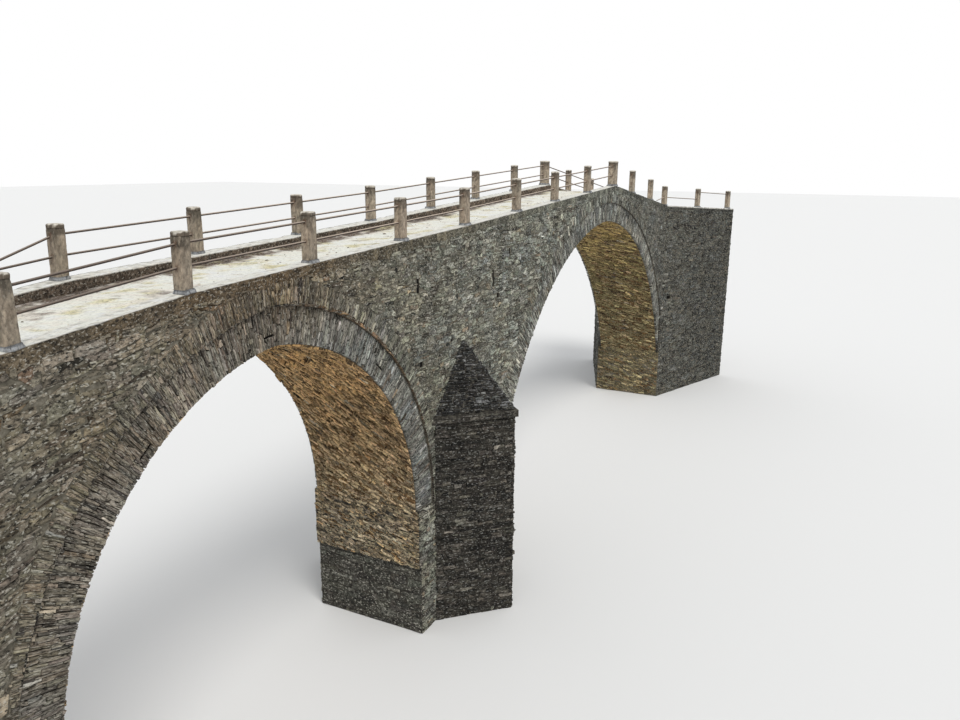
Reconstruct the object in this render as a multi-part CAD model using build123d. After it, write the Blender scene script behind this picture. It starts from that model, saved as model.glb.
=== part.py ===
"""Humped stone arch bridge with two slightly pointed arches, a river pier and a post-and-rail parapet.

The frame stands on the centre of the pier's foot: +X runs along the bridge to the large arch,
+Y across it to the far face, +Z up. Millimetres throughout.
"""

import os
from math import cos, radians, sqrt, tan

from build123d import *

# Widths across the bridge
WALL_HALF_WIDTH = 1355.0
KERB_OVERHANG = 25.0
KERB_WIDTH = 340.0
FACE_WALL_THICKNESS = 500.0

# Kerbs: their height over the wall, their step over the roadway and how they clear the crowns
KERB_HEIGHT = 270.0
KERB_UPSTAND = 200.0
CROWN_COVER = 20.0
KERB_DIP = 45.0
STEEP_RISE_GRADE = 0.105
LEFT_APPROACH_GRADE = 0.055
FALL_GRADE = 0.130
RIGHT_APPROACH_GRADE = 0.060

# Posts: the apex one's place past the large crown and the uneven bays on both sides of it
APEX_SHIFT = 788.0
RISE_BAY_LENGTHS = (2380.0, 2590.0, 2700.0, 2590.0, 2760.0, 2580.0, 2720.0, 2570.0)
FALL_BAY_LENGTHS = (2390.0, 2640.0, 2370.0)
APPROACH_BAY_LENGTH = 2600.0
END_LENGTH = 300.0
LEFT_APPROACH_COUNT = 2
RIGHT_APPROACH_COUNT = 2
GRADE_CHANGE_COUNT = 4
POST_SIDE = 185.0
POST_HEIGHT = 800.0
POST_INSET = 160.0
POST_CHAMFER = 14.0
APEX_POST_SIDE = 262.0
CAP_LIP = 9.0
CAP_HEIGHT = 70.0
CAP_ROUND = 45.0
APEX_CAP_LIP = 16.0
PAD_HEIGHT = 50.0
PAD_MARGIN = 40.0
PAD_CHAMFER = 28.0

# Rails: round bars at two levels, as heights above the kerb
RAIL_DIAMETER = 34.0
UPPER_RAIL_HEIGHT = 640.0
LOWER_RAIL_HEIGHT = 336.0
BENT_RAIL_DROP = 240.0
BENT_RAIL_KNEE = 1300.0
BENT_RAIL_BEND_RADIUS = 260.0
BROKEN_RAIL_LENGTH = 1250.0
BROKEN_RAIL_END_HEIGHT = 90.0

# Small arch over the left bank
SMALL_RADIUS = 4440.0
SMALL_POINT_OFFSET = 410.0
SMALL_SPRING_Z = 2895.0
SMALL_BARREL_THICKNESS = 610.0
SMALL_RING_THICKNESS = 200.0
SMALL_RING_SETBACK = 75.0

# Large arch over the river: its two centres lie below the springing
LARGE_RADIUS = 8970.0
LARGE_POINT_OFFSET = 280.0
LARGE_CENTRE_DROP = 2770.0
LARGE_SPRING_Z = 2000.0
LARGE_BARREL_THICKNESS = 600.0
LARGE_RING_THICKNESS = 190.0
LARGE_RING_SETBACK = 105.0

# Thin stones that are lost from the small arch's near ring: where each gap lies along the ring from
# the crown in degrees, its height over the intrados, its length, its width and its extra tilt
RING_GAP_DEPTH = 200.0
RING_GAPS = (
    (-39.0, 143.0, 260.0, 42.0, 0.0),
    (-6.3, 180.0, 250.0, 40.0, 14.0),
    (42.4, 260.0, 240.0, 42.0, 0.0),
)

# Pier and cutwaters
PIER_HALF_LENGTH = 1945.0
FOOTING_HEIGHT = 1600.0
FOOTING_SETBACK = 80.0
CUTWATER_HALF_WIDTH = 1270.0
CUTWATER_NOSE = 1300.0
CUTWATER_HEIGHT = 4820.0
CUTWATER_LEDGE_HEIGHT = 150.0
CUTWATER_LEDGE_PROJECTION = 60.0
CUTWATER_CAP_HEIGHT = 1430.0

# Splayed wing walls at the two ends
WING_SPLAY_DEGREES = 20.0
WING_CLEARANCE = 250.0

# Slots and putlog holes in the face walls: place along the bridge, height, width and height of each
SLOT_DEPTH = 240.0
MIDDLE_SLOTS = (
    (-1865.0, 7680.0, 90.0, 280.0),
    (1535.0, 7410.0, 90.0, 380.0),
    (2435.0, 7920.0, 80.0, 220.0),
    (1815.0, 6970.0, 110.0, 110.0),
    (-1775.0, 6080.0, 120.0, 110.0),
)
WING_SLOT_DISTANCE = 560.0
WING_SLOT_Z = 4400.0
WING_SLOT_WIDTH = 300.0
WING_SLOT_HEIGHT = 140.0

REACH = 60000.0


def crown_height(centre_z, radius, point_offset):
    """Height of the point of an arch that is struck from two centres."""
    return centre_z + sqrt(radius**2 - point_offset**2)


# Worked out from the driving sizes
KERB_OUTER = WALL_HALF_WIDTH + KERB_OVERHANG
KERB_INNER = KERB_OUTER - KERB_WIDTH
CORE_HALF_WIDTH = WALL_HALF_WIDTH - FACE_WALL_THICKNESS
SMALL_HALF_WIDTH = WALL_HALF_WIDTH - SMALL_RING_SETBACK
LARGE_HALF_WIDTH = WALL_HALF_WIDTH - LARGE_RING_SETBACK
POST_LINE = KERB_OUTER - POST_INSET
SPLAY = tan(radians(WING_SPLAY_DEGREES))
APPROACH_STEP = APPROACH_BAY_LENGTH * cos(radians(WING_SPLAY_DEGREES))

SMALL_HALF_SPAN = SMALL_RADIUS - SMALL_POINT_OFFSET
SMALL_RIGHT_FOOT = -PIER_HALF_LENGTH
SMALL_CENTRE_X = SMALL_RIGHT_FOOT - SMALL_HALF_SPAN
SMALL_LEFT_FOOT = SMALL_CENTRE_X - SMALL_HALF_SPAN
SMALL_OUTER_RADIUS = SMALL_RADIUS + SMALL_BARREL_THICKNESS + SMALL_RING_THICKNESS
LEFT_RING_FOOT = SMALL_CENTRE_X + SMALL_POINT_OFFSET - SMALL_OUTER_RADIUS

LARGE_CENTRE_Z = LARGE_SPRING_Z - LARGE_CENTRE_DROP
LARGE_HALF_SPAN = sqrt(LARGE_RADIUS**2 - LARGE_CENTRE_DROP**2) - LARGE_POINT_OFFSET
LARGE_LEFT_FOOT = PIER_HALF_LENGTH
LARGE_CENTRE_X = LARGE_LEFT_FOOT + LARGE_HALF_SPAN
LARGE_RIGHT_FOOT = LARGE_CENTRE_X + LARGE_HALF_SPAN
LARGE_OUTER_RADIUS = LARGE_RADIUS + LARGE_BARREL_THICKNESS + LARGE_RING_THICKNESS
LARGE_OUTER_REACH = sqrt(LARGE_OUTER_RADIUS**2 - LARGE_CENTRE_DROP**2)
RIGHT_RING_FOOT = LARGE_CENTRE_X - LARGE_POINT_OFFSET + LARGE_OUTER_REACH


def post_stations():
    """Places of all posts along the bridge, from the left end to the right one."""
    stations = [LARGE_CENTRE_X + APEX_SHIFT]
    for bay in reversed(RISE_BAY_LENGTHS):
        stations.insert(0, stations[0] - bay)
    for bay in FALL_BAY_LENGTHS:
        stations.append(stations[-1] + bay)
    for _ in range(RIGHT_APPROACH_COUNT):
        stations.append(stations[-1] + APPROACH_STEP)
    for _ in range(LEFT_APPROACH_COUNT):
        stations.insert(0, stations[0] - APPROACH_STEP)
    return stations


STATIONS = post_stations()
FIRST = LEFT_APPROACH_COUNT
APEX = FIRST + len(RISE_BAY_LENGTHS)
FALL_END = APEX + len(FALL_BAY_LENGTHS)
APEX_X = STATIONS[APEX]
GRADE_CHANGE_X = STATIONS[FIRST + GRADE_CHANGE_COUNT]
STEEP_X = STATIONS[FIRST + 1]
LEFT_END = STATIONS[0] - END_LENGTH
RIGHT_END = STATIONS[-1] + END_LENGTH
LEFT_KINK = LEFT_RING_FOOT - WING_CLEARANCE
RIGHT_KINK = STATIONS[FALL_END]


def kerb_line():
    """Corners of the kerb's top line in the XZ plane, from left to right.

    The line clears both crowns by the same cover and dips a little between them.
    """
    over_ring = CROWN_COVER + KERB_HEIGHT
    over_small = over_ring + crown_height(SMALL_SPRING_Z, SMALL_OUTER_RADIUS, SMALL_POINT_OFFSET)
    over_large = over_ring + crown_height(LARGE_CENTRE_Z, LARGE_OUTER_RADIUS, LARGE_POINT_OFFSET)
    dip_grade = KERB_DIP / (APEX_X - GRADE_CHANGE_X)
    rise = over_large - over_small + dip_grade * APEX_SHIFT
    mean_grade = rise / (LARGE_CENTRE_X - SMALL_CENTRE_X)
    apex = over_large + (mean_grade + dip_grade) * APEX_SHIFT
    change = apex - mean_grade * (APEX_X - GRADE_CHANGE_X) - KERB_DIP
    lower_grade = (change - over_small) / (GRADE_CHANGE_X - SMALL_CENTRE_X)
    steep = change - lower_grade * (GRADE_CHANGE_X - STEEP_X)
    left = steep - STEEP_RISE_GRADE * (STEEP_X - LEFT_KINK)
    end_left = left - LEFT_APPROACH_GRADE * (LEFT_KINK - LEFT_END)
    right = apex - FALL_GRADE * (RIGHT_KINK - APEX_X)
    end_right = right - RIGHT_APPROACH_GRADE * (RIGHT_END - RIGHT_KINK)
    return [
        (LEFT_END, end_left),
        (LEFT_KINK, left),
        (STEEP_X, steep),
        (GRADE_CHANGE_X, change),
        (APEX_X, apex),
        (RIGHT_KINK, right),
        (RIGHT_END, end_right),
    ]


KERB_LINE = kerb_line()


def kerb_top(x):
    """Height of the kerb's top at a place along the bridge."""
    for (x0, z0), (x1, z1) in zip(KERB_LINE, KERB_LINE[1:]):
        if x <= x1:
            return z0 + (z1 - z0) * (x - x0) / (x1 - x0)
    return KERB_LINE[-1][1]


def splay(x):
    """How far the wings have turned outward at a place along the bridge."""
    return SPLAY * max(LEFT_KINK - x, x - RIGHT_KINK, 0.0)


def line_between(x0, x1, drop):
    """The kerb line lowered by drop, from x0 to x1, with its corners between them."""
    inner = [(x, z - drop) for x, z in KERB_LINE if x0 < x < x1]
    return [(x0, kerb_top(x0) - drop), *inner, (x1, kerb_top(x1) - drop)]


def polygon(points):
    """Face of a closed polygon in the drawing plane."""
    return make_face(Polyline(*points, close=True))


def below_line(x0, x1, drop, bottom):
    """Elevation between a level bottom and the lowered kerb line."""
    return polygon([(x0, bottom), *line_between(x0, x1, drop), (x1, bottom)])


def band(x0, x1, drop_top, drop_bottom):
    """Elevation of a layer that follows the kerb line."""
    lower = line_between(x0, x1, drop_bottom)
    return polygon([*line_between(x0, x1, drop_top), *reversed(lower)])


def across(sketch, y0, y1):
    """Elevation sketch made solid from y0 to y1 across the bridge."""
    return Pos(0, y1, 0) * extrude(Plane.XZ * sketch, amount=y1 - y0)


def upright(points, z0, z1):
    """Plan polygon made solid from z0 to z1."""
    return Pos(0, 0, z0) * extrude(polygon(points), amount=z1 - z0)


def flared_strip(x0, x1, inner, outer):
    """Plan of a strip along the far side, straight or splayed like the wings."""
    outside = [(x, outer + splay(x)) for x in (x0, x1)]
    inside = [(x, inner + splay(x)) for x in (x1, x0)]
    return outside + inside


def level_box(x0, x1, half_width, z0, z1):
    """Box across the bridge between two places along it and two levels."""
    return Pos((x0 + x1) / 2, 0, (z0 + z1) / 2) * Box(x1 - x0, 2 * half_width, z1 - z0)


def mirrored(shape):
    """The same shape on the near side."""
    return mirror(shape, about=Plane.XZ)


def opening(centre_x, centre_z, radius, point_offset, spring_z):
    """Elevation inside a pointed arch above its springing, struck from two centres."""
    left = Pos(centre_x + point_offset, centre_z) * Circle(radius)
    right = Pos(centre_x - point_offset, centre_z) * Circle(radius)
    above = Pos(centre_x, spring_z + REACH / 2) * Rectangle(REACH, REACH)
    return left & right & above


def small_opening(extra):
    """The small arch's elevation, widened all round by extra."""
    radius = SMALL_RADIUS + extra
    return opening(SMALL_CENTRE_X, SMALL_SPRING_Z, radius, SMALL_POINT_OFFSET, SMALL_SPRING_Z)


def large_opening(extra):
    """The large arch's elevation, widened all round by extra."""
    radius = LARGE_RADIUS + extra
    return opening(LARGE_CENTRE_X, LARGE_CENTRE_Z, radius, LARGE_POINT_OFFSET, LARGE_SPRING_Z)


def jambs(left_foot, right_foot, spring_z):
    """Elevation between the feet of an arch, below its springing."""
    return Pos((left_foot + right_foot) / 2, spring_z / 2) * Rectangle(right_foot - left_foot, spring_z)


SMALL_INSIDE = small_opening(0)
SMALL_BARREL = small_opening(SMALL_BARREL_THICKNESS)
SMALL_RING = small_opening(SMALL_BARREL_THICKNESS + SMALL_RING_THICKNESS)
SMALL_JAMBS = jambs(SMALL_LEFT_FOOT, SMALL_RIGHT_FOOT, SMALL_SPRING_Z)
LARGE_INSIDE = large_opening(0)
LARGE_BARREL = large_opening(LARGE_BARREL_THICKNESS)
LARGE_RING = large_opening(LARGE_BARREL_THICKNESS + LARGE_RING_THICKNESS)
LARGE_JAMBS = jambs(LARGE_LEFT_FOOT, LARGE_RIGHT_FOOT, LARGE_SPRING_Z)


def both_sides(name, shape):
    """The far-side shape and its mirror image, as two named sub-parts."""
    return {f"{name}_far": shape, f"{name}_near": mirrored(shape)}


def ring_gaps():
    """Boxes that cut the lost stones out of the small arch's near ring."""
    boxes = []
    for angle, rise, length, width, tilt in RING_GAPS:
        shift = SMALL_POINT_OFFSET if angle < 0 else -SMALL_POINT_OFFSET
        centre = Pos(SMALL_CENTRE_X + shift, -SMALL_HALF_WIDTH, SMALL_SPRING_Z)
        along_ring = Rot(0, angle, 0) * Pos(0, 0, SMALL_RADIUS + rise) * Rot(0, -tilt, 0)
        boxes.append(centre * along_ring * Box(length, 2 * RING_GAP_DEPTH, width))
    return boxes


def arch_parts():
    """The two barrels, the large one in two halves that meet at its crown, and their outer rings."""
    small_barrel = across(SMALL_BARREL - SMALL_INSIDE, -SMALL_HALF_WIDTH, SMALL_HALF_WIDTH)
    for gap in ring_gaps():
        small_barrel -= gap
    large_barrel = across(LARGE_BARREL - LARGE_INSIDE, -LARGE_HALF_WIDTH, LARGE_HALF_WIDTH)
    left_half = level_box(LARGE_CENTRE_X - REACH, LARGE_CENTRE_X, WALL_HALF_WIDTH, 0, REACH)
    parts = {
        "small_arch_barrel": small_barrel,
        "large_arch_barrel_left": large_barrel & left_half,
        "large_arch_barrel_right": large_barrel - left_half,
    }
    small_ring = across(SMALL_RING - SMALL_BARREL, CORE_HALF_WIDTH, WALL_HALF_WIDTH)
    large_ring = across(LARGE_RING - LARGE_BARREL, CORE_HALF_WIDTH, WALL_HALF_WIDTH)
    parts |= both_sides("small_arch_ring", small_ring)
    parts |= both_sides("large_arch_ring", large_ring)
    return parts


def slots(places):
    """Boxes that cut the slots into the far face wall."""
    return [
        Pos(x, WALL_HALF_WIDTH - SLOT_DEPTH / 2, z) * Box(width, SLOT_DEPTH, height)
        for x, z, width, height in places
    ]


def spandrel_parts():
    """Face walls over the arches, and the rubble between the middle ones."""
    left = below_line(LEFT_KINK, SMALL_CENTRE_X, KERB_HEIGHT, SMALL_SPRING_Z) - SMALL_RING
    middle = below_line(SMALL_CENTRE_X, LARGE_CENTRE_X, KERB_HEIGHT, SMALL_SPRING_Z)
    right = below_line(LARGE_CENTRE_X, RIGHT_KINK, KERB_HEIGHT, LARGE_SPRING_Z) - LARGE_RING
    left_wall = across(left, CORE_HALF_WIDTH, WALL_HALF_WIDTH)
    middle_wall = across(middle - SMALL_RING - LARGE_RING, CORE_HALF_WIDTH, WALL_HALF_WIDTH)
    for slot in slots(MIDDLE_SLOTS):
        middle_wall -= slot
    right_wall = across(right, CORE_HALF_WIDTH, WALL_HALF_WIDTH)
    parts = both_sides("spandrel_left", left_wall)
    parts |= both_sides("spandrel_middle", middle_wall)
    parts |= both_sides("spandrel_right", right_wall)
    core = middle - SMALL_BARREL - LARGE_BARREL
    parts["spandrel_fill"] = across(core, -CORE_HALF_WIDTH, CORE_HALF_WIDTH)
    return parts


def seat_box(kink, foot, ring_foot, spring_z):
    """Seat of an arch in its bank, from the foot of the opening past the foot of the ring."""
    back = min(kink, ring_foot) if ring_foot < foot else max(kink, ring_foot)
    return level_box(min(back, foot), max(back, foot), WALL_HALF_WIDTH, 0, spring_z)


LEFT_SEAT = seat_box(LEFT_KINK, SMALL_LEFT_FOOT, LEFT_RING_FOOT, SMALL_SPRING_Z)
RIGHT_SEAT = seat_box(RIGHT_KINK, LARGE_RIGHT_FOOT, RIGHT_RING_FOOT, LARGE_SPRING_Z)


def abutment(kink, end, crown_x, seat, barrel, ring, way):
    """Mass of one bank: the seat of the arch, the fill over it and the core of the approach."""
    low, high = min(kink, crown_x), max(kink, crown_x)
    over = across(below_line(low, high, KERB_HEIGHT, 0), -CORE_HALF_WIDTH, CORE_HALF_WIDTH)
    reach = CORE_HALF_WIDTH + splay(end)
    plan = [(kink, -CORE_HALF_WIDTH), (end, -reach), (end, reach), (kink, CORE_HALF_WIDTH)]
    low, high = min(kink, end), max(kink, end)
    approach = upright(plan, 0, REACH) & across(below_line(low, high, KERB_HEIGHT, 0), -REACH, REACH)
    mass = over + approach - across(barrel + way, -REACH, REACH)
    face_ring = across(ring, CORE_HALF_WIDTH, WALL_HALF_WIDTH)
    return mass - face_ring - mirrored(face_ring) + seat


def wing(x0, x1, seat, barrel, barrel_half_width, ring, way):
    """Splayed wing wall on the far side, built against the arch where the two meet."""
    plan = flared_strip(x0, x1, CORE_HALF_WIDTH, WALL_HALF_WIDTH)
    wall = upright(plan, 0, REACH) & across(below_line(x0, x1, KERB_HEIGHT, 0), -REACH, REACH)
    wall -= across(barrel, -barrel_half_width, barrel_half_width)
    wall -= across(ring, CORE_HALF_WIDTH, WALL_HALF_WIDTH)
    wall -= across(way, -REACH, REACH)
    return wall - seat


def wing_slot():
    """Box that cuts the drain hole into the right wing's far face."""
    x = RIGHT_KINK + WING_SLOT_DISTANCE * cos(radians(WING_SPLAY_DEGREES))
    face = Pos(x, WALL_HALF_WIDTH + splay(x), WING_SLOT_Z) * Rot(0, 0, WING_SPLAY_DEGREES)
    return face * Box(WING_SLOT_WIDTH, 2 * SLOT_DEPTH, WING_SLOT_HEIGHT)


def bank_parts():
    """Abutments and wing walls at both ends."""
    small_way = SMALL_INSIDE + SMALL_JAMBS
    large_way = LARGE_INSIDE + LARGE_JAMBS
    left_wing = wing(
        LEFT_END, LEFT_KINK, LEFT_SEAT, SMALL_BARREL, SMALL_HALF_WIDTH, SMALL_RING, small_way
    )
    right_wing = wing(
        RIGHT_KINK, RIGHT_END, RIGHT_SEAT, LARGE_BARREL, LARGE_HALF_WIDTH, LARGE_RING, large_way
    )
    parts = {
        "left_abutment": abutment(
            LEFT_KINK, LEFT_END, SMALL_CENTRE_X, LEFT_SEAT, SMALL_BARREL, SMALL_RING, small_way
        ),
        "right_abutment": abutment(
            RIGHT_KINK, RIGHT_END, LARGE_CENTRE_X, RIGHT_SEAT, LARGE_BARREL, LARGE_RING, large_way
        ),
    }
    parts |= both_sides("left_wing", left_wing)
    parts |= both_sides("right_wing", right_wing - wing_slot())
    return parts


def triangle_nose(half_width, nose):
    """Plan of a pointed cutwater on the far face wall."""
    return [
        (-half_width, WALL_HALF_WIDTH),
        (half_width, WALL_HALF_WIDTH),
        (0, WALL_HALF_WIDTH + nose),
    ]


def cutwater():
    """Triangular nose with its projecting ledge course, on the far side."""
    ledge_bottom = CUTWATER_HEIGHT - CUTWATER_LEDGE_HEIGHT
    nose = upright(triangle_nose(CUTWATER_HALF_WIDTH, CUTWATER_NOSE), 0, ledge_bottom)
    side_length = sqrt(CUTWATER_HALF_WIDTH**2 + CUTWATER_NOSE**2)
    wider = CUTWATER_LEDGE_PROJECTION * side_length / CUTWATER_NOSE
    longer = CUTWATER_LEDGE_PROJECTION * side_length / CUTWATER_HALF_WIDTH
    ledge_plan = triangle_nose(CUTWATER_HALF_WIDTH + wider, CUTWATER_NOSE + longer)
    return nose + upright(ledge_plan, ledge_bottom, CUTWATER_HEIGHT)


def cutwater_cap():
    """Pyramid from the cutwater's top back to a point on the face wall."""
    corners = [(x, y, CUTWATER_HEIGHT) for x, y in triangle_nose(CUTWATER_HALF_WIDTH, CUTWATER_NOSE)]
    point = (0, WALL_HALF_WIDTH, CUTWATER_HEIGHT + CUTWATER_CAP_HEIGHT)
    left, right, nose = corners
    triangles = [(left, right, nose), (left, right, point), (right, nose, point), (nose, left, point)]
    faces = [Face(Wire.make_polygon(triangle, close=True)) for triangle in triangles]
    return Solid(Shell(faces))


def pier_parts():
    """River pier with its footing and the two cutwaters."""
    footing_half = PIER_HALF_LENGTH - FOOTING_SETBACK
    shaft_plan = Pos(0, (FOOTING_HEIGHT + SMALL_SPRING_Z) / 2) * Rectangle(
        2 * PIER_HALF_LENGTH, SMALL_SPRING_Z - FOOTING_HEIGHT
    )
    core = across(shaft_plan - LARGE_BARREL, -CORE_HALF_WIDTH, CORE_HALF_WIDTH)
    face = across(shaft_plan - LARGE_RING, CORE_HALF_WIDTH, WALL_HALF_WIDTH)
    parts = {
        "pier_footing": level_box(-footing_half, footing_half, WALL_HALF_WIDTH, 0, FOOTING_HEIGHT),
        "pier_shaft": core + face + mirrored(face),
    }
    parts |= both_sides("cutwater", cutwater())
    parts |= both_sides("cutwater_cap", cutwater_cap())
    return parts


STRETCHES = {
    "left": (LEFT_END, LEFT_KINK),
    "climb": (LEFT_KINK, GRADE_CHANGE_X),
    "rise": (GRADE_CHANGE_X, APEX_X),
    "fall": (APEX_X, RIGHT_KINK),
    "right": (RIGHT_KINK, RIGHT_END),
}


def roadway_parts():
    """Roadway layer and concrete kerbs, each in stretches of one grade and one direction."""
    parts = {}
    for name, (x0, x1) in STRETCHES.items():
        edge = [(x, KERB_INNER + splay(x)) for x in (x0, x1)]
        plan = edge + [(x, -y) for x, y in reversed(edge)]
        layer = across(band(x0, x1, KERB_UPSTAND, KERB_HEIGHT), -REACH, REACH)
        parts[f"deck_{name}"] = upright(plan, 0, REACH) & layer
        strip = upright(flared_strip(x0, x1, KERB_INNER, KERB_OUTER), 0, REACH)
        kerb = strip & across(band(x0, x1, 0, KERB_HEIGHT), -REACH, REACH)
        parts[f"kerbs_{name}"] = Compound(children=[kerb, mirrored(kerb)])
    return parts


def post_frame(index):
    """Place and direction of a post on the far side, at the kerb's top."""
    x = STATIONS[index]
    turn = 0.0
    if x < LEFT_KINK:
        turn = -WING_SPLAY_DEGREES
    if x > RIGHT_KINK:
        turn = WING_SPLAY_DEGREES
    return Pos(x, POST_LINE + splay(x), kerb_top(x)) * Rot(0, 0, turn)


def post_side(index):
    """Width of a post, by its number along the bridge."""
    return APEX_POST_SIDE if index == APEX else POST_SIDE


def post(index):
    """Shaft of one concrete post on the far side, from its pad to its cap."""
    side = post_side(index)
    height = POST_HEIGHT - CAP_HEIGHT - PAD_HEIGHT
    shaft = Box(side, side, height)
    shaft = chamfer(shaft.edges().filter_by(Axis.Z), POST_CHAMFER)
    return post_frame(index) * Pos(0, 0, PAD_HEIGHT + height / 2) * shaft


POSTS = [post(i) for i in range(len(STATIONS))]


def post_cap(index):
    """Rounded mortar cap of one post on the far side."""
    at_apex = index == APEX
    side = post_side(index) + 2 * (APEX_CAP_LIP if at_apex else CAP_LIP)
    cap = Box(side, side, CAP_HEIGHT)
    cap = fillet(cap.faces().sort_by(Axis.Z)[-1].edges(), POST_CHAMFER if at_apex else CAP_ROUND)
    return post_frame(index) * Pos(0, 0, POST_HEIGHT - CAP_HEIGHT / 2) * cap


def post_pad(index):
    """Levelling bed of mortar under one post on the far side, over the kerb's full width."""
    x = STATIONS[index]
    length = post_side(index) + 2 * PAD_MARGIN
    bed = Box(length, KERB_WIDTH, 2 * PAD_HEIGHT)
    upper_ends = bed.faces().sort_by(Axis.Z)[-1].edges().filter_by(Axis.Y)
    bed = chamfer(upper_ends, PAD_CHAMFER)
    bed = post_frame(index) * Pos(0, POST_INSET - KERB_WIDTH / 2, 0) * bed
    below = across(below_line(x - length, x + length, 0, 0), -REACH, REACH)
    return bed - below


def post_parts():
    """All posts with their caps and beds, grouped by side."""
    everywhere = range(len(STATIONS))
    caps = [post_cap(i) for i in everywhere]
    pads = [post_pad(i) for i in everywhere]
    return {
        "posts_far": Compound(children=POSTS),
        "posts_near": Compound(children=[mirrored(one) for one in POSTS]),
        "post_caps": Compound(children=caps + [mirrored(one) for one in caps]),
        "post_pads": Compound(children=pads + [mirrored(one) for one in pads]),
    }


def rail_point(index, height):
    """Where a rail's axis crosses the axis of a post on the far side."""
    x = STATIONS[index]
    return Vector(x, POST_LINE + splay(x), kerb_top(x) + height)


def bar(path, index):
    """Round bar along a path, as far as it shows between a post and the next one."""
    start = Plane(path @ 0, z_dir=path % 0)
    return sweep(start * Circle(RAIL_DIAMETER / 2), path=path) - POSTS[index] - POSTS[index + 1]


def rail(index, height):
    """One bay of rail on the far side, from post face to post face."""
    path = Line(rail_point(index, height), rail_point(index + 1, height))
    return bar(path, index)


def bent_rail():
    """Upper rail of the first bay, still in its right socket and pressed down at the left."""
    index = FIRST
    right = rail_point(index + 1, UPPER_RAIL_HEIGHT)
    left = rail_point(index, UPPER_RAIL_HEIGHT - BENT_RAIL_DROP)
    knee_x = left.X + BENT_RAIL_KNEE
    knee = Vector(knee_x, right.Y, kerb_top(knee_x) + UPPER_RAIL_HEIGHT - BENT_RAIL_DROP)
    path = FilletPolyline(left, knee, right, radius=BENT_RAIL_BEND_RADIUS)
    return bar(path, index)


def broken_rail():
    """Lower rail of the last falling bay, out of its left socket and hanging to the kerb."""
    index = FALL_END - 1
    right = rail_point(index + 1, LOWER_RAIL_HEIGHT)
    left_x = right.X - BROKEN_RAIL_LENGTH
    left = Vector(left_x, right.Y, kerb_top(left_x) + BROKEN_RAIL_END_HEIGHT)
    return bar(Line(left, right), index)


def rail_parts():
    """Iron rails of both parapets, with the bays that are lost left out."""
    bays = range(len(STATIONS) - 1)
    near_upper = [i for i in bays if i < APEX or i > FALL_END]
    near_lower = [i for i in bays if i < APEX or i == FALL_END]
    far_upper = [i for i in bays if i != FIRST]
    far = [rail(i, UPPER_RAIL_HEIGHT) for i in far_upper]
    far += [rail(i, LOWER_RAIL_HEIGHT) for i in bays]
    near = [rail(i, UPPER_RAIL_HEIGHT) for i in near_upper]
    near += [rail(i, LOWER_RAIL_HEIGHT) for i in near_lower]
    return {
        "rails_far": Compound(children=far),
        "rails_near": Compound(children=[mirrored(one) for one in near]),
        "bent_rail_far": bent_rail(),
        "broken_rail_near": mirrored(broken_rail()),
    }


def main():
    """Write every sub-part to its own file."""
    parts = arch_parts()
    parts |= spandrel_parts()
    parts |= bank_parts()
    parts |= pier_parts()
    parts |= roadway_parts()
    parts |= post_parts()
    parts |= rail_parts()
    os.makedirs("parts", exist_ok=True)
    for name, shape in parts.items():
        export_step(shape, f"parts/{name}.step")
    print(len(parts), "sub-parts")


main()
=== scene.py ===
"""Looks of a humped stone arch bridge: stones, roadway, concrete and iron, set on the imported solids.

Metres in the part's own frame: +X along the bridge to the large arch, +Y to the far face, +Z up.
"""

from math import acos, asin, atan2, cos, pi, radians, sin, sqrt, tan

import bpy
import numpy as np
from mathutils import Matrix, Vector, noise


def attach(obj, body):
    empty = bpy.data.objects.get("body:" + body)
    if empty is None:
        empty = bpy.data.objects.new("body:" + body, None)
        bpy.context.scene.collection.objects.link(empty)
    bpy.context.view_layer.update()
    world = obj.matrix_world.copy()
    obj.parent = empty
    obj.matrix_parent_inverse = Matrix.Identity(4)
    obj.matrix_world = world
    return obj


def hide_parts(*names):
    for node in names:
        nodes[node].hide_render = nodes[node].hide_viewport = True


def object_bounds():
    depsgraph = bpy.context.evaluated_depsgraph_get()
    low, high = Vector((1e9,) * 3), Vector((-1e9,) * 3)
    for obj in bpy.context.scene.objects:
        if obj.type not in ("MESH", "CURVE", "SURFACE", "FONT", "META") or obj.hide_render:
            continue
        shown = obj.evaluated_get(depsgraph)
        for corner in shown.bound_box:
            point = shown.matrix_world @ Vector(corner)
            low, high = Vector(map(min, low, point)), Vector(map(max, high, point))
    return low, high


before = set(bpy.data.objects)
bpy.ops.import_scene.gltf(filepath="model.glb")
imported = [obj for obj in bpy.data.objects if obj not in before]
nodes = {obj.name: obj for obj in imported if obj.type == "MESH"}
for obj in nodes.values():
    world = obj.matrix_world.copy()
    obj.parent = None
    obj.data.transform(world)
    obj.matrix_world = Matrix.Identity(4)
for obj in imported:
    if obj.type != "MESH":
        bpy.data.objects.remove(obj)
cad_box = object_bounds()

# Sizes of the solids that the stones lie on
WALL = 1.355
KERB_INNER = 1.04
KERB_HEIGHT = 0.27
KERB_UPSTAND = 0.20
PIER = 1.945
FOOTING = 1.865
FOOTING_TOP = 1.6
CUT_HALF = 1.27
CUT_NOSE = 1.30
CUT_TOP = 4.82
LEDGE = 0.15
LEDGE_OUT = 0.06
CAP_RISE = 1.43
SPLAY = radians(20)
LEFT_KINK = -11.065
RIGHT_KINK = 18.3847
LEFT_END = -15.092
RIGHT_END = 23.571
# How far the thin stones of the cut ends stand out of the solids' box
BOX_PLAY = (0.004, 0.0, 0.0)
# Kerb tops, as places along the bridge and heights
KERB_LINE = (
    (-15.092, 7.754), (-11.065, 7.976), (-7.525, 8.348), (0.355, 8.711),
    (10.985, 9.321), (18.385, 8.359), (23.571, 8.048),
)
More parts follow.
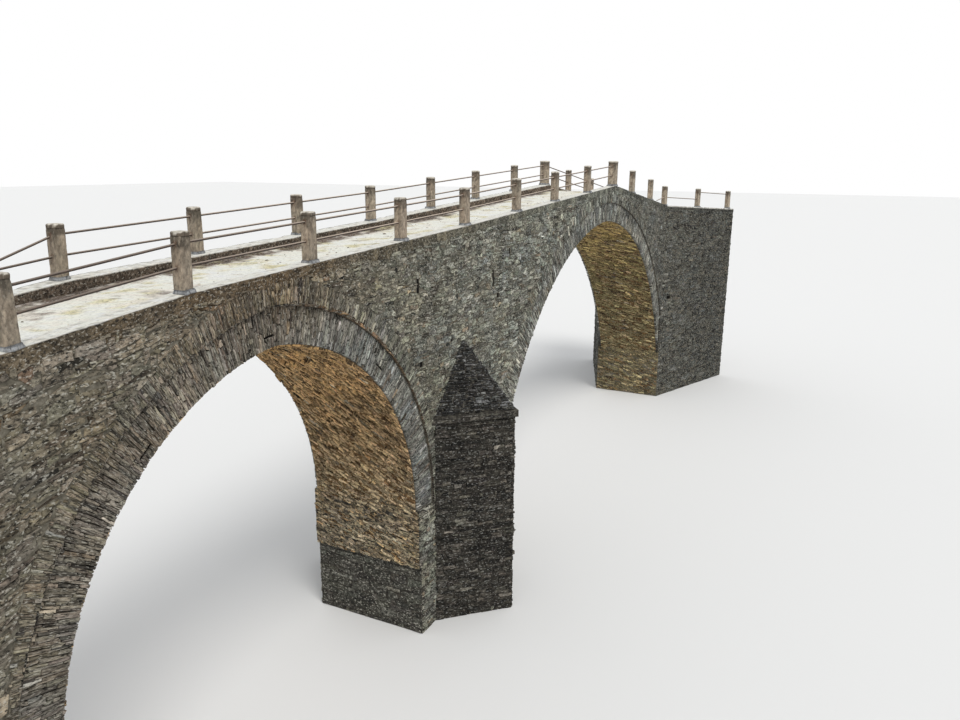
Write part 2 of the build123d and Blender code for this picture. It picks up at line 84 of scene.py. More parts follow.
# Holes in the walls: middle, width and height; in the right wings the place is from the bend
SLOTS = (
    (-1.865, 7.68, 0.09, 0.28), (1.535, 7.41, 0.09, 0.38), (2.435, 7.92, 0.08, 0.22),
    (1.815, 6.97, 0.11, 0.11), (-1.775, 6.08, 0.12, 0.11),
)
WING_SLOT = (0.56, 4.4, 0.30, 0.14)
# Stones of the far side are a little larger than those of the near side, which the photograph shows
FAR_SCALE = 1.15
# Joints between wall stones, how far these stand out, and the share of them that is lost
JOINT = 0.003
STONE_RISE = 0.014
LOST = 0.035
# Lengths of the kerbs' and the roadway's cells along the bridge, and the number of loose pebbles
KERB_STEP = 0.062
ROAD_STEP = 0.075
PEBBLES = 1900
# Places of lost ring stones of the small arch: half, radius and angle from the crown
RING_GAPS = ((-1, 4.583, radians(39)), (-1, 4.62, radians(6.3)), (1, 4.70, radians(42.4)))


def kerb_top(x):
    """Height of the kerb's top at a place along the bridge."""
    return np.interp(x, *zip(*KERB_LINE))


def grade(x, step=0.05):
    """Slope of the kerb's top."""
    return float(kerb_top(x + step) - kerb_top(x - step)) / (2 * step)


def lengthwise(step):
    """Places from one end of the bridge to the other."""
    return np.unique(np.round(np.append(np.arange(LEFT_END, RIGHT_END, step), RIGHT_END), 4))


def splay(x):
    """How far the wings have turned outward at a place along the bridge."""
    return tan(SPLAY) * np.maximum(np.maximum(LEFT_KINK - x, x - RIGHT_KINK), 0)


class Arch:
    """Pointed arch struck from two centres; side -1 is its left half and 1 its right half."""

    def __init__(self, x, z, radius, offset, spring, barrel, face):
        self.x, self.z, self.radius, self.offset = x, z, radius, offset
        self.spring, self.barrel, self.face = spring, radius + barrel, face

    def centre(self, side):
        return self.x - side * self.offset

    def crown_angle(self, r):
        return asin(self.offset / r)

    def spring_angle(self, r):
        return acos((self.spring - self.z) / r)

    def at(self, side, r, angle):
        return self.centre(side) + side * r * np.sin(angle), self.z + r * np.cos(angle)

    def foot(self, side):
        return self.at(side, self.radius, self.spring_angle(self.radius))[0]

    def way(self, side, x, z):
        """Direction and distance of a place from one of the centres."""
        dx, dz = x - self.centre(side), z - self.z
        reach = sqrt(dx * dx + dz * dz)
        return dx / reach, dz / reach, reach

    def cut(self, side, dx, dz, r):
        """Plane across a direction that cuts off all past the radius; inside it for a negative radius."""
        s = 1 if r > 0 else -1
        return (s * dx, s * dz, s * (dx * self.centre(side) + dz * self.z) + r)


SMALL = Arch(-5.975, 2.895, 4.44, 0.41, 2.895, 0.61, 1.28)
LARGE = Arch(10.1967, -0.77, 8.97, 0.28, 2.0, 0.60, 1.25)


def outer_zone(arch, side, angle):
    """How far the radial stones reach past the inner ring."""
    turn = angle / arch.spring_angle(arch.barrel)
    if arch is SMALL:
        return (0.41 + 0.05 * side - 0.20 * turn + 0.05 * np.sin(9 * angle + side)
                + 0.035 * np.sin(150 * angle) * np.sin(37 * angle))
    return 0.36 - 0.12 * turn + 0.05 * np.sin(13 * angle + 2 * side) + 0.035 * np.sin(170 * angle)


# Colours


def filled(points, value):
    """Points with one more column, of the same value in each row."""
    return np.column_stack([points, np.full(len(points), value)])


def linear(colour):
    """Colour given in 0 to 255 as the eye reads it, in the light's own measure."""
    c = np.asarray(colour, float) / 255
    return np.where(c <= 0.04045, c / 12.92, ((c + 0.055) / 1.055) ** 2.4)


def palette(rng, base, spread, extras, count):
    """Colours of count stones: base with changes of lightness, and shares of other colours."""
    base = np.broadcast_to(np.asarray(base, float), (count, 3)).copy()
    pick = rng.random(count)
    edge = 0.0
    for share, colour in extras:
        hit = (pick >= edge) & (pick < edge + share)
        base[hit] = colour
        edge += share
    base *= np.exp(rng.normal(0, spread, count))[:, None]
    base *= 1 + rng.normal(0, 0.009, (count, 3))
    return linear(np.maximum(base * np.minimum(1, 246 / base.max(1))[:, None], 12))


def field(points, scale, seed=0.0, octaves=3):
    """Smooth random value about 0 for each point, from broad to fine."""
    shift = Vector((seed * 13.7, seed * 7.1, seed * 3.3))
    total = np.zeros(len(points))
    for i in range(octaves):
        s = scale * 2.1 ** i
        total += np.array([noise.noise(Vector(p) * s + shift) for p in points]) * 0.6 ** i
    return total


# Stones: slabs of a plan in two measures, cut to their region, and raised from the solid's face


def slabs(rng, u0, u1, v0, v1, length, height, joint, ragged=0.13):
    """Thin stones in courses, each with six corners and uneven edges."""
    polys = []
    v = v0
    while v < v1:
        h = height * rng.uniform(0.55, 1.6)
        u = u0 - rng.uniform(0, length)
        while u < u1:
            run = length * rng.uniform(0.3, 1.8)
            g, t = joint * rng.uniform(0.4, 1.7, 2)
            j = rng.normal(0, ragged * h, 6)
            k = rng.normal(0, 0.2 * h, 4)
            a, b, c, d = u + g, u + run - g, v + 0.7 * t, v + h - 0.7 * t
            m, n = u + run * rng.uniform(0.3, 0.7, 2)
            polys.append(np.array([(a + k[0], c + j[0]), (m, c + j[1]), (b + k[1], c + j[2]),
                                   (b + k[2], d + j[3]), (n, d + j[4]), (a + k[3], d + j[5])]))
            u += run
        v += h
    return polys


def cut(poly, plane):
    """Part of a polygon with a*x + b*z <= d."""
    a, b, d = plane
    out = []
    dist = [a * p[0] + b * p[1] - d for p in poly]
    for i, p in enumerate(poly):
        q, dp, dq = poly[(i + 1) % len(poly)], dist[i], dist[(i + 1) % len(poly)]
        if dp <= 0:
            out.append(p)
        if dp * dq < 0:
            k = dp / (dp - dq)
            out.append((p[0] + k * (q[0] - p[0]), p[1] + k * (q[1] - p[1])))
    return out


def area(poly):
    x, z = np.array(poly).T
    return 0.5 * abs(np.dot(x, np.roll(z, -1)) - np.dot(z, np.roll(x, -1)))


class Heap:
    """Forms collected for one joined mesh."""

    def __init__(self, name, slot, material, smooth=False):
        self.name, self.slot, self.material, self.smooth = name, slot, material, smooth
        self.points, self.quads, self.tris, self.colours, self.grain, self.count = [], [], [], [], [], 0

    def put(self, points, colours, grain, quads, tris):
        self.points.append(points)
        self.quads.append(quads + self.count)
        self.tris.append(tris + self.count)
        self.colours.append(colours)
        self.grain.append(grain)
        self.count += len(points)

    def build(self, *replaced):
        """The mesh, which stands for the nodes that are named."""
        parts = (self.points, self.quads, self.tris, self.colours, self.grain)
        made = mesh_object(self.name, self.slot, self.material, *(np.concatenate(p) for p in parts), self.smooth)
        if replaced:
            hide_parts(*replaced)
        return made


class Layer(Heap):
    """Stones for one joined mesh; edge is the share of colour kept at the foot of each stone, which is darkened there
    as painted shade in the joints.
    """

    def __init__(self, name, slot, material, edge=0.72):
        super().__init__(name, slot, material)
        self.edge = edge

    def add(self, polys, place, height, bevel, colours, rng, uneven=0.25, flip=False, grain=None, depth=0.012):
        """Raise each polygon from its face: place maps plan points and heights to the frame.

        The grain runs along the first of the two measures that grain gives for plan points.
        """
        sizes = np.array([len(p) for p in polys])
        for n in np.unique(sizes):
            which = np.flatnonzero(sizes == n)
            ring = np.array([polys[i] for i in which], float)
            k = len(ring)
            centre = ring.mean(1, keepdims=True)
            half = np.maximum((ring.max(1) - ring.min(1)) / 2, 1e-4)[:, None, :]
            top = centre + (ring - centre) * np.clip(1 - bevel / half, 0.25, 1)
            up = height * np.exp(rng.normal(0, uneven, k))[:, None] if np.isscalar(height) else height[which][:, None]
            rise = np.abs(up) * (1 + rng.normal(0, 0.22, (k, n)))
            low = place(ring.reshape(-1, 2), np.full(k * n, -depth)).reshape(k, n, 3)
            high = place(top.reshape(-1, 2), rise.ravel()).reshape(k, n, 3)
            mid_at = centre[:, 0] + rng.normal(0, 0.15, (k, 2)) * half[:, 0]
            mid = place(mid_at, rise.mean(1) * 1.25).reshape(k, 1, 3)
            plan = np.concatenate([ring, top, mid_at[:, None]], 1).reshape(-1, 2)
            along = grain(plan) if grain else plan
            lies = np.column_stack([along, np.repeat(rng.uniform(0, 40, k), 2 * n + 1)])
            base = np.arange(k)[:, None] * (2 * n + 1)
            i = np.arange(n)
            j = (i + 1) % n
            quads = np.stack([base + i, base + j, base + n + j, base + n + i], -1).reshape(-1, 4)
            tris = np.stack([base + n + i, base + n + j, base + 2 * n + 0 * i], -1).reshape(-1, 3)
            if flip:
                quads, tris = quads[:, ::-1], tris[:, ::-1]
            tint = np.repeat(colours[which][:, None, :], 2 * n + 1, 1)
            # Painted shade: the foot ring of each stone is darkened, for the shade in the joint around it.
            tint[:, :n] *= self.edge
            tint[:, n:] *= 1 + rng.normal(0, 0.08, (k, n + 1, 1))
            self.put(np.concatenate([low, high, mid], 1).reshape(-1, 3), tint.reshape(-1, 3), lies, quads, tris)


def mesh_object(name, slot, material, points, quads, tris, colours=None, grain=None, smooth=False):
    """Mesh from arrays, riding on the bridge. A fourth colour value is how strong the mottling is."""
    mesh = bpy.data.meshes.new(name)
    points = np.clip(points, np.array(cad_box[0]) - BOX_PLAY, np.array(cad_box[1]) + BOX_PLAY)
    quads = np.asarray(quads, np.int32).reshape(-1, 4)
    tris = np.asarray(tris, np.int32).reshape(-1, 3)
    mesh.vertices.add(len(points))
    mesh.vertices.foreach_set("co", np.asarray(points, np.float32).ravel())
    loops = np.concatenate([quads.ravel(), tris.ravel()])
    mesh.loops.add(len(loops))
    mesh.loops.foreach_set("vertex_index", loops.astype(np.int32))
    mesh.polygons.add(len(quads) + len(tris))
    starts = np.concatenate([np.arange(len(quads)) * 4, 4 * len(quads) + np.arange(len(tris)) * 3])
    mesh.polygons.foreach_set("loop_start", starts.astype(np.int32))
    mesh.update(calc_edges=True)
    mesh.validate()
    mesh.polygons.foreach_set("use_smooth", np.full(len(mesh.polygons), smooth))
    if colours is not None:
        tint = mesh.attributes.new("tint", "FLOAT_COLOR", "POINT")
        rgba = np.ones((len(points), 4), np.float32)
        rgba[:, :np.shape(colours)[1]] = colours
        tint.data.foreach_set("color", rgba.ravel())
    if grain is not None:
        lie = mesh.attributes.new("grain", "FLOAT_VECTOR", "POINT")
        lie.data.foreach_set("vector", np.asarray(grain, np.float32).ravel())
    obj = bpy.data.objects.new(name, mesh)
    bpy.context.scene.collection.objects.link(obj)
    mesh.materials.append(material)
    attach(obj, "root")
    return obj


# Materials


def new_material(name, roughness, specular=0.5):
    """Dull material, with its tree and its shader."""
    material = bpy.data.materials.new(name)
    material.use_nodes = True
    shader = material.node_tree.nodes["Principled BSDF"]
    shader.inputs["Roughness"].default_value = roughness
    shader.inputs["Specular IOR Level"].default_value = specular
    return material, material.node_tree, shader


def node(tree, kind, inputs=(), **values):
    made = tree.nodes.new(kind)
    for key, value in values.items():
        setattr(made, key, value)
    for key, value in dict(inputs).items():
        if isinstance(value, bpy.types.NodeSocket):
            tree.links.new(value, made.inputs[key])
        else:
            made.inputs[key].default_value = value
    return made


def cloud(tree, scale, detail, rough, where=None):
    """Noise at the object's own places, or at those that are given."""
    if where is None:
        where = node(tree, "ShaderNodeTexCoord").outputs["Object"]
    return node(tree, "ShaderNodeTexNoise", {"Vector": where, "Scale": scale, "Detail": detail,
                                             "Roughness": rough}).outputs["Fac"]


def reckon(tree, operation, a, b=0.5):
    return node(tree, "ShaderNodeMath", {0: a, 1: b}, operation=operation).outputs[0]


def span(tree, value, low, high, start, stop):
    """Value between low and high, as one between start and stop."""
    return node(tree, "ShaderNodeMapRange", {"Value": value, "From Min": low, "From Max": high, "To Min": start,
                                             "To Max": stop}).outputs[0]


def measure(tree, vector, axis):
    return node(tree, "ShaderNodeSeparateXYZ", {0: vector}).outputs[axis]


def ramp(tree, value, stops):
    """Colour ramp with (place, colour 0 to 255) stops."""
    made = node(tree, "ShaderNodeValToRGB", {"Fac": value})
    elements = made.color_ramp.elements
    while len(elements) < len(stops):
        elements.new(0.5)
    for element, (place, colour) in zip(elements, stops):
        element.position = place
        element.color = (*linear(colour), 1)
    return made.outputs["Color"]


def mix(tree, blend, factor, a, b):
    return node(tree, "ShaderNodeMix", {0: factor, 6: a, 7: b}, data_type="RGBA", blend_type=blend).outputs[2]


def grey(value):
    return (value, value, value)


def bump(tree, shader, height, strength, distance):
    made = node(tree, "ShaderNodeBump", {"Height": height, "Strength": strength, "Distance": distance})
    tree.links.new(made.outputs["Normal"], shader.inputs["Normal"])


def stone_material(name, scale, stretch, dark, chip, chip_colour, pit, chips_at=2.6, pits_at=2.0):
    """Weathered stone: each stone's own tint, grained along it, with pale chips and dark pits."""
    material, tree, shader = new_material(name, 0.93, 0.25)
    tint = node(tree, "ShaderNodeAttribute", attribute_name="tint").outputs
    lie = node(tree, "ShaderNodeAttribute", attribute_name="grain").outputs["Vector"]
    lie = node(tree, "ShaderNodeMapping", {"Vector": lie, "Scale": (1, stretch, 1)}).outputs[0]
    body = cloud(tree, scale, 9.0, 0.78, lie)
    stops = ((0.38, grey(dark)), (0.46, grey(178)), (0.53, grey(232)), (0.60, grey(255)))
    mottle = mix(tree, "MIX", tint["Alpha"], (0.96, 0.96, 0.96, 1), ramp(tree, body, stops))
    colour = mix(tree, "MULTIPLY", 1.0, tint["Color"], mottle)
    chips = span(tree, cloud(tree, chips_at * scale, 4.0, 0.6, lie), 0.56, 0.63, 0.0, chip)
    colour = mix(tree, "MIX", chips, colour, (*linear(chip_colour), 1))
    holes = span(tree, cloud(tree, pits_at * scale, 4.0, 0.6, lie), 0.43, 0.37, 0.0, pit)
    colour = mix(tree, "MIX", reckon(tree, "MULTIPLY", holes, tint["Alpha"]), colour, (*linear((30, 28, 25)), 1))
    tree.links.new(colour, shader.inputs["Base Color"])
    bump(tree, shader, body, 0.7, 0.03)
    return material


def mortar_material(name, tones, grain=9.0, face=None):
    """Old lime mortar and bedding behind the stones, with other tones on the faces of the walls if given."""
    places = (0.32, 0.52, 0.72)
    material, tree, shader = new_material(name, 0.95, 0.2)
    value = cloud(tree, grain, 10.0, 0.72)
    colour = ramp(tree, value, tuple(zip(places, tones)))
    if face:
        normal = node(tree, "ShaderNodeNewGeometry").outputs["Normal"]
        across = reckon(tree, "ABSOLUTE", measure(tree, normal, "Y"))
        across = reckon(tree, "GREATER_THAN", across, 0.8)
        colour = mix(tree, "MIX", across, colour, ramp(tree, value, tuple(zip(places, face))))
    tree.links.new(colour, shader.inputs["Base Color"])
    bump(tree, shader, cloud(tree, 7 * grain, 8.0, 0.7), 0.7, 0.015)
    return material


def rust_material(name):
    """Dark rusty iron with a pale, sunlit upper side, paler to the right."""
    material, tree, shader = new_material(name, 0.72)
    colour = ramp(tree, cloud(tree, 30.0, 8.0, 0.7), ((0.30, (30, 25, 23)), (0.50, (54, 43, 37)), (0.70, (92, 70, 56))))
    up = measure(tree, node(tree, "ShaderNodeNewGeometry").outputs["Normal"], "Z")
    along = measure(tree, node(tree, "ShaderNodeTexCoord").outputs["Object"], "X")
    top = reckon(tree, "MULTIPLY", span(tree, up, 0.0, 0.7, 0.0, 0.95), span(tree, along, -9.0, -3.0, 0.30, 1.0))
    colour = mix(tree, "MIX", top, colour, (*linear((200, 184, 168)), 1))
    tree.links.new(colour, shader.inputs["Base Color"])
    shader.inputs["Metallic"].default_value = 0.15
    bump(tree, shader, cloud(tree, 160.0, 5.0, 0.7), 0.4, 0.002)
    return material


WALL_STONE = stone_material("split_stone", 12.0, 1.7, 80, 0.66, (192, 189, 177), 0.92, 1.5, 1.25)
FINE_STONE = stone_material("radial_slabs", 9.0, 5.0, 76, 0.58, (190, 186, 174), 0.88, 1.6, 1.3)
# Warm pale flecks of the barrel stones carry painted warm light reflected from the ground.
BARREL_STONE = stone_material("barrel_slabs", 10.0, 2.2, 90, 0.58, (226, 194, 146), 0.80, 1.7, 1.5)
DARK_STONE = stone_material("blackened_stone", 9.0, 2.0, 70, 0.60, (156, 156, 151), 0.80, 2.0, 1.6)
KERB_CONCRETE = stone_material("worn_kerb_concrete", 14.0, 1.2, 84, 0.46, (204, 198, 184), 0.92, 1.7, 1.4)
GRAVEL = stone_material("roadway_gravel", 12.0, 1.0, 120, 0.30, (248, 244, 236), 0.70)
POST_SKIN = stone_material("worn_post_concrete", 14.0, 1.0, 158, 0.22, (190, 181, 166), 0.40)
MORTAR = mortar_material("wall_mortar", ((64, 60, 52), (108, 103, 91), (144, 139, 125)))
RING_MORTAR = mortar_material("ring_mortar", ((62, 58, 50), (100, 95, 84), (138, 133, 120)), 14.0)
# Barrel mortar: warm orange on the underside as painted light reflected from the ground, its own grey on the end faces.
BARREL_MORTAR = mortar_material("barrel_mortar", ((66, 50, 34), (106, 83, 56), (150, 122, 85)), 12.0,
                                ((42, 39, 35), (74, 69, 61), (112, 107, 96)))
DARK_MORTAR = mortar_material("pier_mortar", ((26, 25, 24), (60, 57, 52), (128, 124, 112)), 12.0)
RUST = rust_material("rusty_iron")


# Wall faces


def sheared(x):
    """Slope of the courses, which climb steeply at the left end, summed along the bridge."""
    return 0.05 * x - 0.17 * np.log1p(np.exp(-(x + 7.0)))


def wall_base(x):
    """Tone of the masonry along the bridge, 0 to 255: browner to the left, darker past the large arch."""
    return np.stack([np.interp(x, (-13, -8, -3, 2, 12, 17, 22), c) for c in (
        (140, 138, 140, 145, 149, 112, 78), (131, 129, 138, 146, 150, 112, 79),
        (113, 112, 123, 134, 138, 104, 74))], 1)


def weather(colours, x, z, seed):
    """Patches of masonry in other tones, brown under the kerb by the small crown and dark by the large one."""
    at = np.stack([x, 0 * x, z], 1)
    warm, shade = field(at, 1.5, seed + 1, 2), field(at, 0.8, seed, 3)
    small = field(at, 6.0, seed + 2, 2) * np.interp(x, (-8, -2, 5, 12, 18), (0.3, 0.9, 1.2, 1.3, 2.2))
    small = np.minimum(small, np.interp(x, (5, 12, 18), (0.6, 0.35, 0.15)))
    out = colours * np.exp(0.20 * shade + small)[:, None] * np.exp(warm[:, None] * (0.08, 0.01, -0.10))
    out = out * (1 - 0.40 * np.exp(-((x - 13.3) / 1.4) ** 2) * np.clip((z - 7.5) / 0.8, 0, 1))[:, None]
    stain = np.exp(-((x + 5.6) / 2.4) ** 2) * np.clip((z - 7.2) / 0.7, 0, 1)
    return out * (1 - stain[:, None] * (0.08, 0.20, 0.30))


def wall_tone(rng, x, z):
    """Colours of wall stones by their place along the bridge."""
    extras = ((0.04, (168, 164, 153)), (0.07, (92, 87, 78)), (0.03, (146, 132, 114)))
    calm = np.interp(x, (SMALL.x - 1, SMALL.x + 1, 12, 18), (0.14, 0.22, 0.24, 0.30))[:, None]
    tones = palette(rng, (143, 141, 130), 0.0, extras, len(x)) * linear(wall_base(x)) / linear((143, 141, 130))
    tones = tones * np.exp(rng.normal(0, 1, (len(x), 1)) * calm)
    return weather(tones, x, z, 1)


def arch_planes(x, z, gap, zoned=True):
    """Cuts that keep a wall stone at this place outside both arches and their radial stones."""
    planes = []
    for arch in (SMALL, LARGE):
        side = -1 if x < arch.x else 1
        if z < arch.spring:
            planes.append((side * -1.0, 0.0, -side * arch.foot(side) - gap))
            continue
        dx, dz, _ = arch.way(side, x, z)
        r = arch.barrel + outer_zone(arch, side, abs(atan2(dx, dz))) if zoned else arch.radius
        planes.append(arch.cut(side, dx, dz, -r - gap))
    return planes


def kerb_plane(x, gap):
    slope = grade(x)
    return (-slope, 1.0, float(kerb_top(x)) - KERB_HEIGHT - slope * x - gap)


def slot_planes(x, z, places):
    """Cuts that keep stones off the slots, and None where the stone lies in one."""
    planes = []
    for sx, sz, width, height in places:
        ox, oz = (x - sx) / (width / 2), (z - sz) / (height / 2)
        if abs(x - sx) > width / 2 + 0.3 or abs(z - sz) > height / 2 + 0.3:
            continue
        if max(abs(ox), abs(oz)) < 1:
            return None
        if abs(x - sx) - width / 2 > abs(z - sz) - height / 2:
            s = 1 if ox > 0 else -1
            planes.append((-s, 0.0, -s * sx - width / 2 - 0.005))
            continue
        s = 1 if oz > 0 else -1
        planes.append((0.0, -s, -s * sz - height / 2 - 0.005))
    return planes


def trimmed(polys, planes_for, least):
    """Polygons cut by the planes of their own middle, small leavings dropped."""
    kept = []
    for poly in polys:
        c = poly.mean(0)
        planes = planes_for(float(c[0]), float(c[1]))
        if planes is None:
            continue
        points = [tuple(p) for p in poly]
        for plane in planes:
            points = cut(points, plane)
            if len(points) < 3:
                break
        if len(points) >= 3 and area(points) > least:
            kept.append(np.array(points))
    return kept


def middles(polys):
    return np.array([p.mean(0) for p in polys])


def upright(side, y):
    """Place of plan points, along and up, on an upright face y away from the bridge's middle."""
    return lambda p, h: np.stack([p[:, 0], side * (y + h), p[:, 1]], 1)


def courses(rng, u0, u1, top, size, k, ragged):
    """Slabs in courses that wave a little."""
    polys = slabs(rng, u0, u1, -0.6, top, size[0] * k, size[1] * k, JOINT, ragged)
    for poly in polys:
        poly[:, 1] += 0.03 * np.sin(1.9 * poly[:, 0]) + 0.005 * np.sin(6.3 * poly[:, 0] + 9 * poly[0, 1])
    return polys


def lay_rubble(layer, polys, x, place, rng, flip):
    """Wall stones of uneven heights, a few of which are lost: their flat stubs are painted near-black as the shade in
    the holes they leave.
    """
    tones = wall_tone(rng, x, middles(polys)[:, 1])
    heights = np.minimum(STONE_RISE * np.exp(rng.normal(0, 0.6, len(tones))), 1.8 * STONE_RISE)
    lost = rng.random(len(tones)) < LOST
    heights[lost] = 0.001
    # Painted shade: a missing stone's stub is darkened to stand for its shaded hole.
    tones[lost] *= 0.18
    layer.add(polys, place, heights, 0.008, tones, rng, flip=flip)


def wall_face(layer, side, rng):
    """Rubble between the arches' radial stones and the kerb, on the near (-1) or far (1) face."""
    k = 1.0 if side < 0 else FAR_SCALE
    polys = courses(rng, SMALL.x, RIGHT_KINK + 0.6, 9.8, (0.19, 0.060), k, 0.30)
    for poly in slabs(rng, LEFT_KINK - 0.6, SMALL.x, -1.0, 11.5, 0.23 * k, 0.070 * k, JOINT, 0.28):
        poly[:, 1] += sheared(poly[:, 0]) + 0.03 * np.sin(3.1 * poly[:, 0])
        polys.append(poly)

    def planes(x, z):
        if not LEFT_KINK - 0.2 < x < RIGHT_KINK + 0.2 or not -0.1 < z < kerb_top(x) - 0.1:
            return None
        if abs(x) < 1.15 and z < CUT_TOP + 0.1:
            return None
        if z > CUT_TOP and abs(x) < CUT_HALF * (1 - (z - CUT_TOP) / CAP_RISE) - 0.1:
            return None
        found = slot_planes(x, z, SLOTS)
        if found is None:
            return None
        found += arch_planes(x, z, 0.004)
        found += [kerb_plane(x, -0.12), (0.0, -1.0, 0.0), (-1.0, 0.0, -LEFT_KINK), (1.0, 0.0, RIGHT_KINK)]
        if z < FOOTING_TOP and abs(x) < PIER + 0.3:
            s = 1 if x > 0 else -1
            found.append((s, 0.0, FOOTING))
        return found

    polys = trimmed(polys, planes, 0.0012)
    lay_rubble(layer, polys, middles(polys)[:, 0], upright(side, WALL), rng, side > 0)


def wing_face(layer, side, end, rng):
    """Rubble of one splayed wing: side across the bridge, end -1 left or 1 right."""
    kink, limit = (LEFT_KINK, LEFT_END) if end < 0 else (RIGHT_KINK, RIGHT_END)
    reach = abs(limit - kink) / cos(SPLAY)
    size = (0.22, 0.075) if end > 0 else (0.25, 0.078)
    polys = courses(rng, -0.6, reach + 0.6, 9.0, size, 1.0 if side < 0 else FAR_SCALE, 0.28)

    def planes(s, z):
        x = kink + end * s * cos(SPLAY)
        if z > kerb_top(x) - 0.1:
            return None
        slope = grade(x) * end * cos(SPLAY)
        found = [(-slope, 1.0, kerb_top(x) - KERB_HEIGHT + 0.12 - slope * s), (0.0, -1.0, 0.0), (-1.0, 0.0, 0.0),
                 (1.0, 0.0, reach)]
        if end > 0:
            holes = slot_planes(s, z, (WING_SLOT,))
            if holes is None:
                return None
            found += holes
            if x < LARGE.foot(1) + 0.4:
                found += [(a * cos(SPLAY), b, d - a * kink) for a, b, d in arch_planes(x, z, 0.0, False)[1:]]
        return found

    def place(p, h):
        x = kink + end * (p[:, 0] * cos(SPLAY) - h * sin(SPLAY))
        y = WALL + p[:, 0] * sin(SPLAY) + h * cos(SPLAY)
        return np.stack([x, side * y, p[:, 1]], 1)

    polys = trimmed(polys, planes, 0.0012)
    x = kink + end * middles(polys)[:, 0] * cos(SPLAY)
    lay_rubble(layer, polys, x, place, rng, (side > 0) == (end > 0))


# Rings of radial slabs


def parted(thin, r, s, width=0.036, reach=0.13):
    """Slabs with a gap left across them, where parts of a few have fallen out."""
    out = []
    for poly in thin:
        if abs(poly[:, 1].mean() - s) > reach or poly[:, 0].max() < r - width / 2 or poly[:, 0].min() > r + width / 2:
            out.append(poly)
            continue
        parts = (cut([tuple(p) for p in poly], (s, 0.0, s * r - width / 2)) for s in (1.0, -1.0))
        out += [np.array(part) for part in parts if len(part) > 2]
    return out


def ring_face(layer, arch, side, half, low, high, face, width, length, base, rng, lift=0.0):
    """Radial slabs between two radii of one half of an arch, on one face."""
    start, stop = arch.crown_angle(low) * low, arch.spring_angle(low) * low
    deepest = float(max(high(a) for a in np.linspace(0, pi / 2, 30)))
    thin = slabs(rng, low - 0.2, deepest + 0.2, start - 0.3, stop + 0.3, length, width, 0.0025, 0.16)
    if side < 0 and arch is SMALL and low < arch.barrel:
        for gap_half, r, angle in RING_GAPS:
            if gap_half == half:
                thin = parted(thin, r, angle * low)
    polys = []
    for poly in thin:
        x, z = arch.at(half, poly[:, 0], poly[:, 1] / low)
        polys.append(np.stack([x, z], 1)[::-half])

    def planes(x, z):
        dx, dz, reach = arch.way(half, x, z)
        angle = abs(atan2(dx, dz))
        if not low - 0.3 < reach < high(angle) + 0.3 or z < arch.spring - 0.3 or x > RIGHT_KINK:
            return None
        return [
            arch.cut(half, dx, dz, -low - 0.003),
            arch.cut(half, dx, dz, high(angle) - 0.003),
            (-half, 0.0, -half * arch.x - 0.003),
            (0.0, -1.0, -arch.spring - 0.002),
            (1.0, 0.0, RIGHT_KINK),
            kerb_plane(x, -0.12),
        ]

    polys = trimmed(polys, planes, 0.0006)
    at = middles(polys)
    extras = ((0.03, (160, 156, 145)), (0.08, (90, 85, 77)), (0.03, (138, 124, 106)))
    colours = weather(palette(rng, base(at[:, 0]), 0.16, extras, len(polys)), at[:, 0], at[:, 1], 1)

    def radial(p):
        dx, dz = p[:, 0] - arch.centre(half), p[:, 1] - arch.z
        return np.stack([np.hypot(dx, dz), low * np.arctan2(dx, dz)], 1)

    layer.add(polys, upright(side, face + lift), 0.013, 0.005, colours, rng, 0.35, side > 0, radial, lift + 0.012)


def arch_rings(layer, arch, side, rng):
    """Both rings of one arch on one face."""

    def tone(x):
        left, right = ((142, 133, 119), (138, 138, 131)) if arch is SMALL else ((148, 148, 139), (150, 150, 141))
        mixed = np.clip((x - arch.x) / 4 + 0.4, 0, 1)[:, None]
        return np.asarray(left) * (1 - mixed) + np.asarray(right) * mixed

    inner = arch.barrel
    k = 1.0 if side < 0 else FAR_SCALE
    for half in (-1, 1):
        ring_face(layer, arch, side, half, arch.radius, lambda a: inner, arch.face, 0.033 * k, 0.26 * k, tone, rng,
                  0.026 if arch is SMALL else 0.062)
        ring_face(layer, arch, side, half, inner, lambda a: inner + outer_zone(arch, half, a) - 0.01, WALL,
                  0.034 * k, 0.21 * k, wall_base, rng)


# Tones of the painted shadow line under the step of the outer masonry; the brown one is partly a stain.
SEAM_SHADOW = (88, 82, 73)
BROWN_STAIN_AND_SEAM_SHADOW = (116, 93, 69)


def step_shadow_line(layer, arch, side, half, colours, rng, stain=0.0):
    """Thin dark stones along the edge where the outer masonry steps out, as painted shadow of the step, wider in a
    brown stain if given.
    """
    low = arch.barrel
    start, stop = arch.crown_angle(low) * low, arch.spring_angle(low) * low
    polys = []
    for poly in slabs(rng, low - 0.004, low + 0.04 + stain, start, stop, 0.05, 0.16, 0.002, 0.1):
        broad = stain * np.exp(-((poly[:, 1].mean() / low - radians(26)) / radians(15)) ** 2)
        poly[:, 0] = np.clip(poly[:, 0], low - 0.002, low + (0.022 if arch is SMALL else 0.036) + broad)
        poly[:, 1] = np.clip(poly[:, 1], start, stop)
        if area(poly) > 0.0004:
            x, z = arch.at(half, poly[:, 0], poly[:, 1] / low)
            polys.append(np.stack([x, z], 1)[::-half])

    at = middles(polys)
    # Painted shadow: the line turns darker towards the springing and at the crown.
    down = np.clip((at[:, 1] - arch.spring) / (low * 0.9), 0, 1)
    down = (down * np.clip((np.abs(at[:, 0] - arch.x) - 0.3) / 0.8, 0, 1))[:, None]
    tints = palette(rng, np.asarray(colours) * down + np.array((66, 60, 53)) * (1 - down), 0.24, (), len(polys))
    layer.add(polys, upright(side, WALL), 0.018 if stain else 0.010, 0.004, tints, rng, 0.1, flip=side > 0)


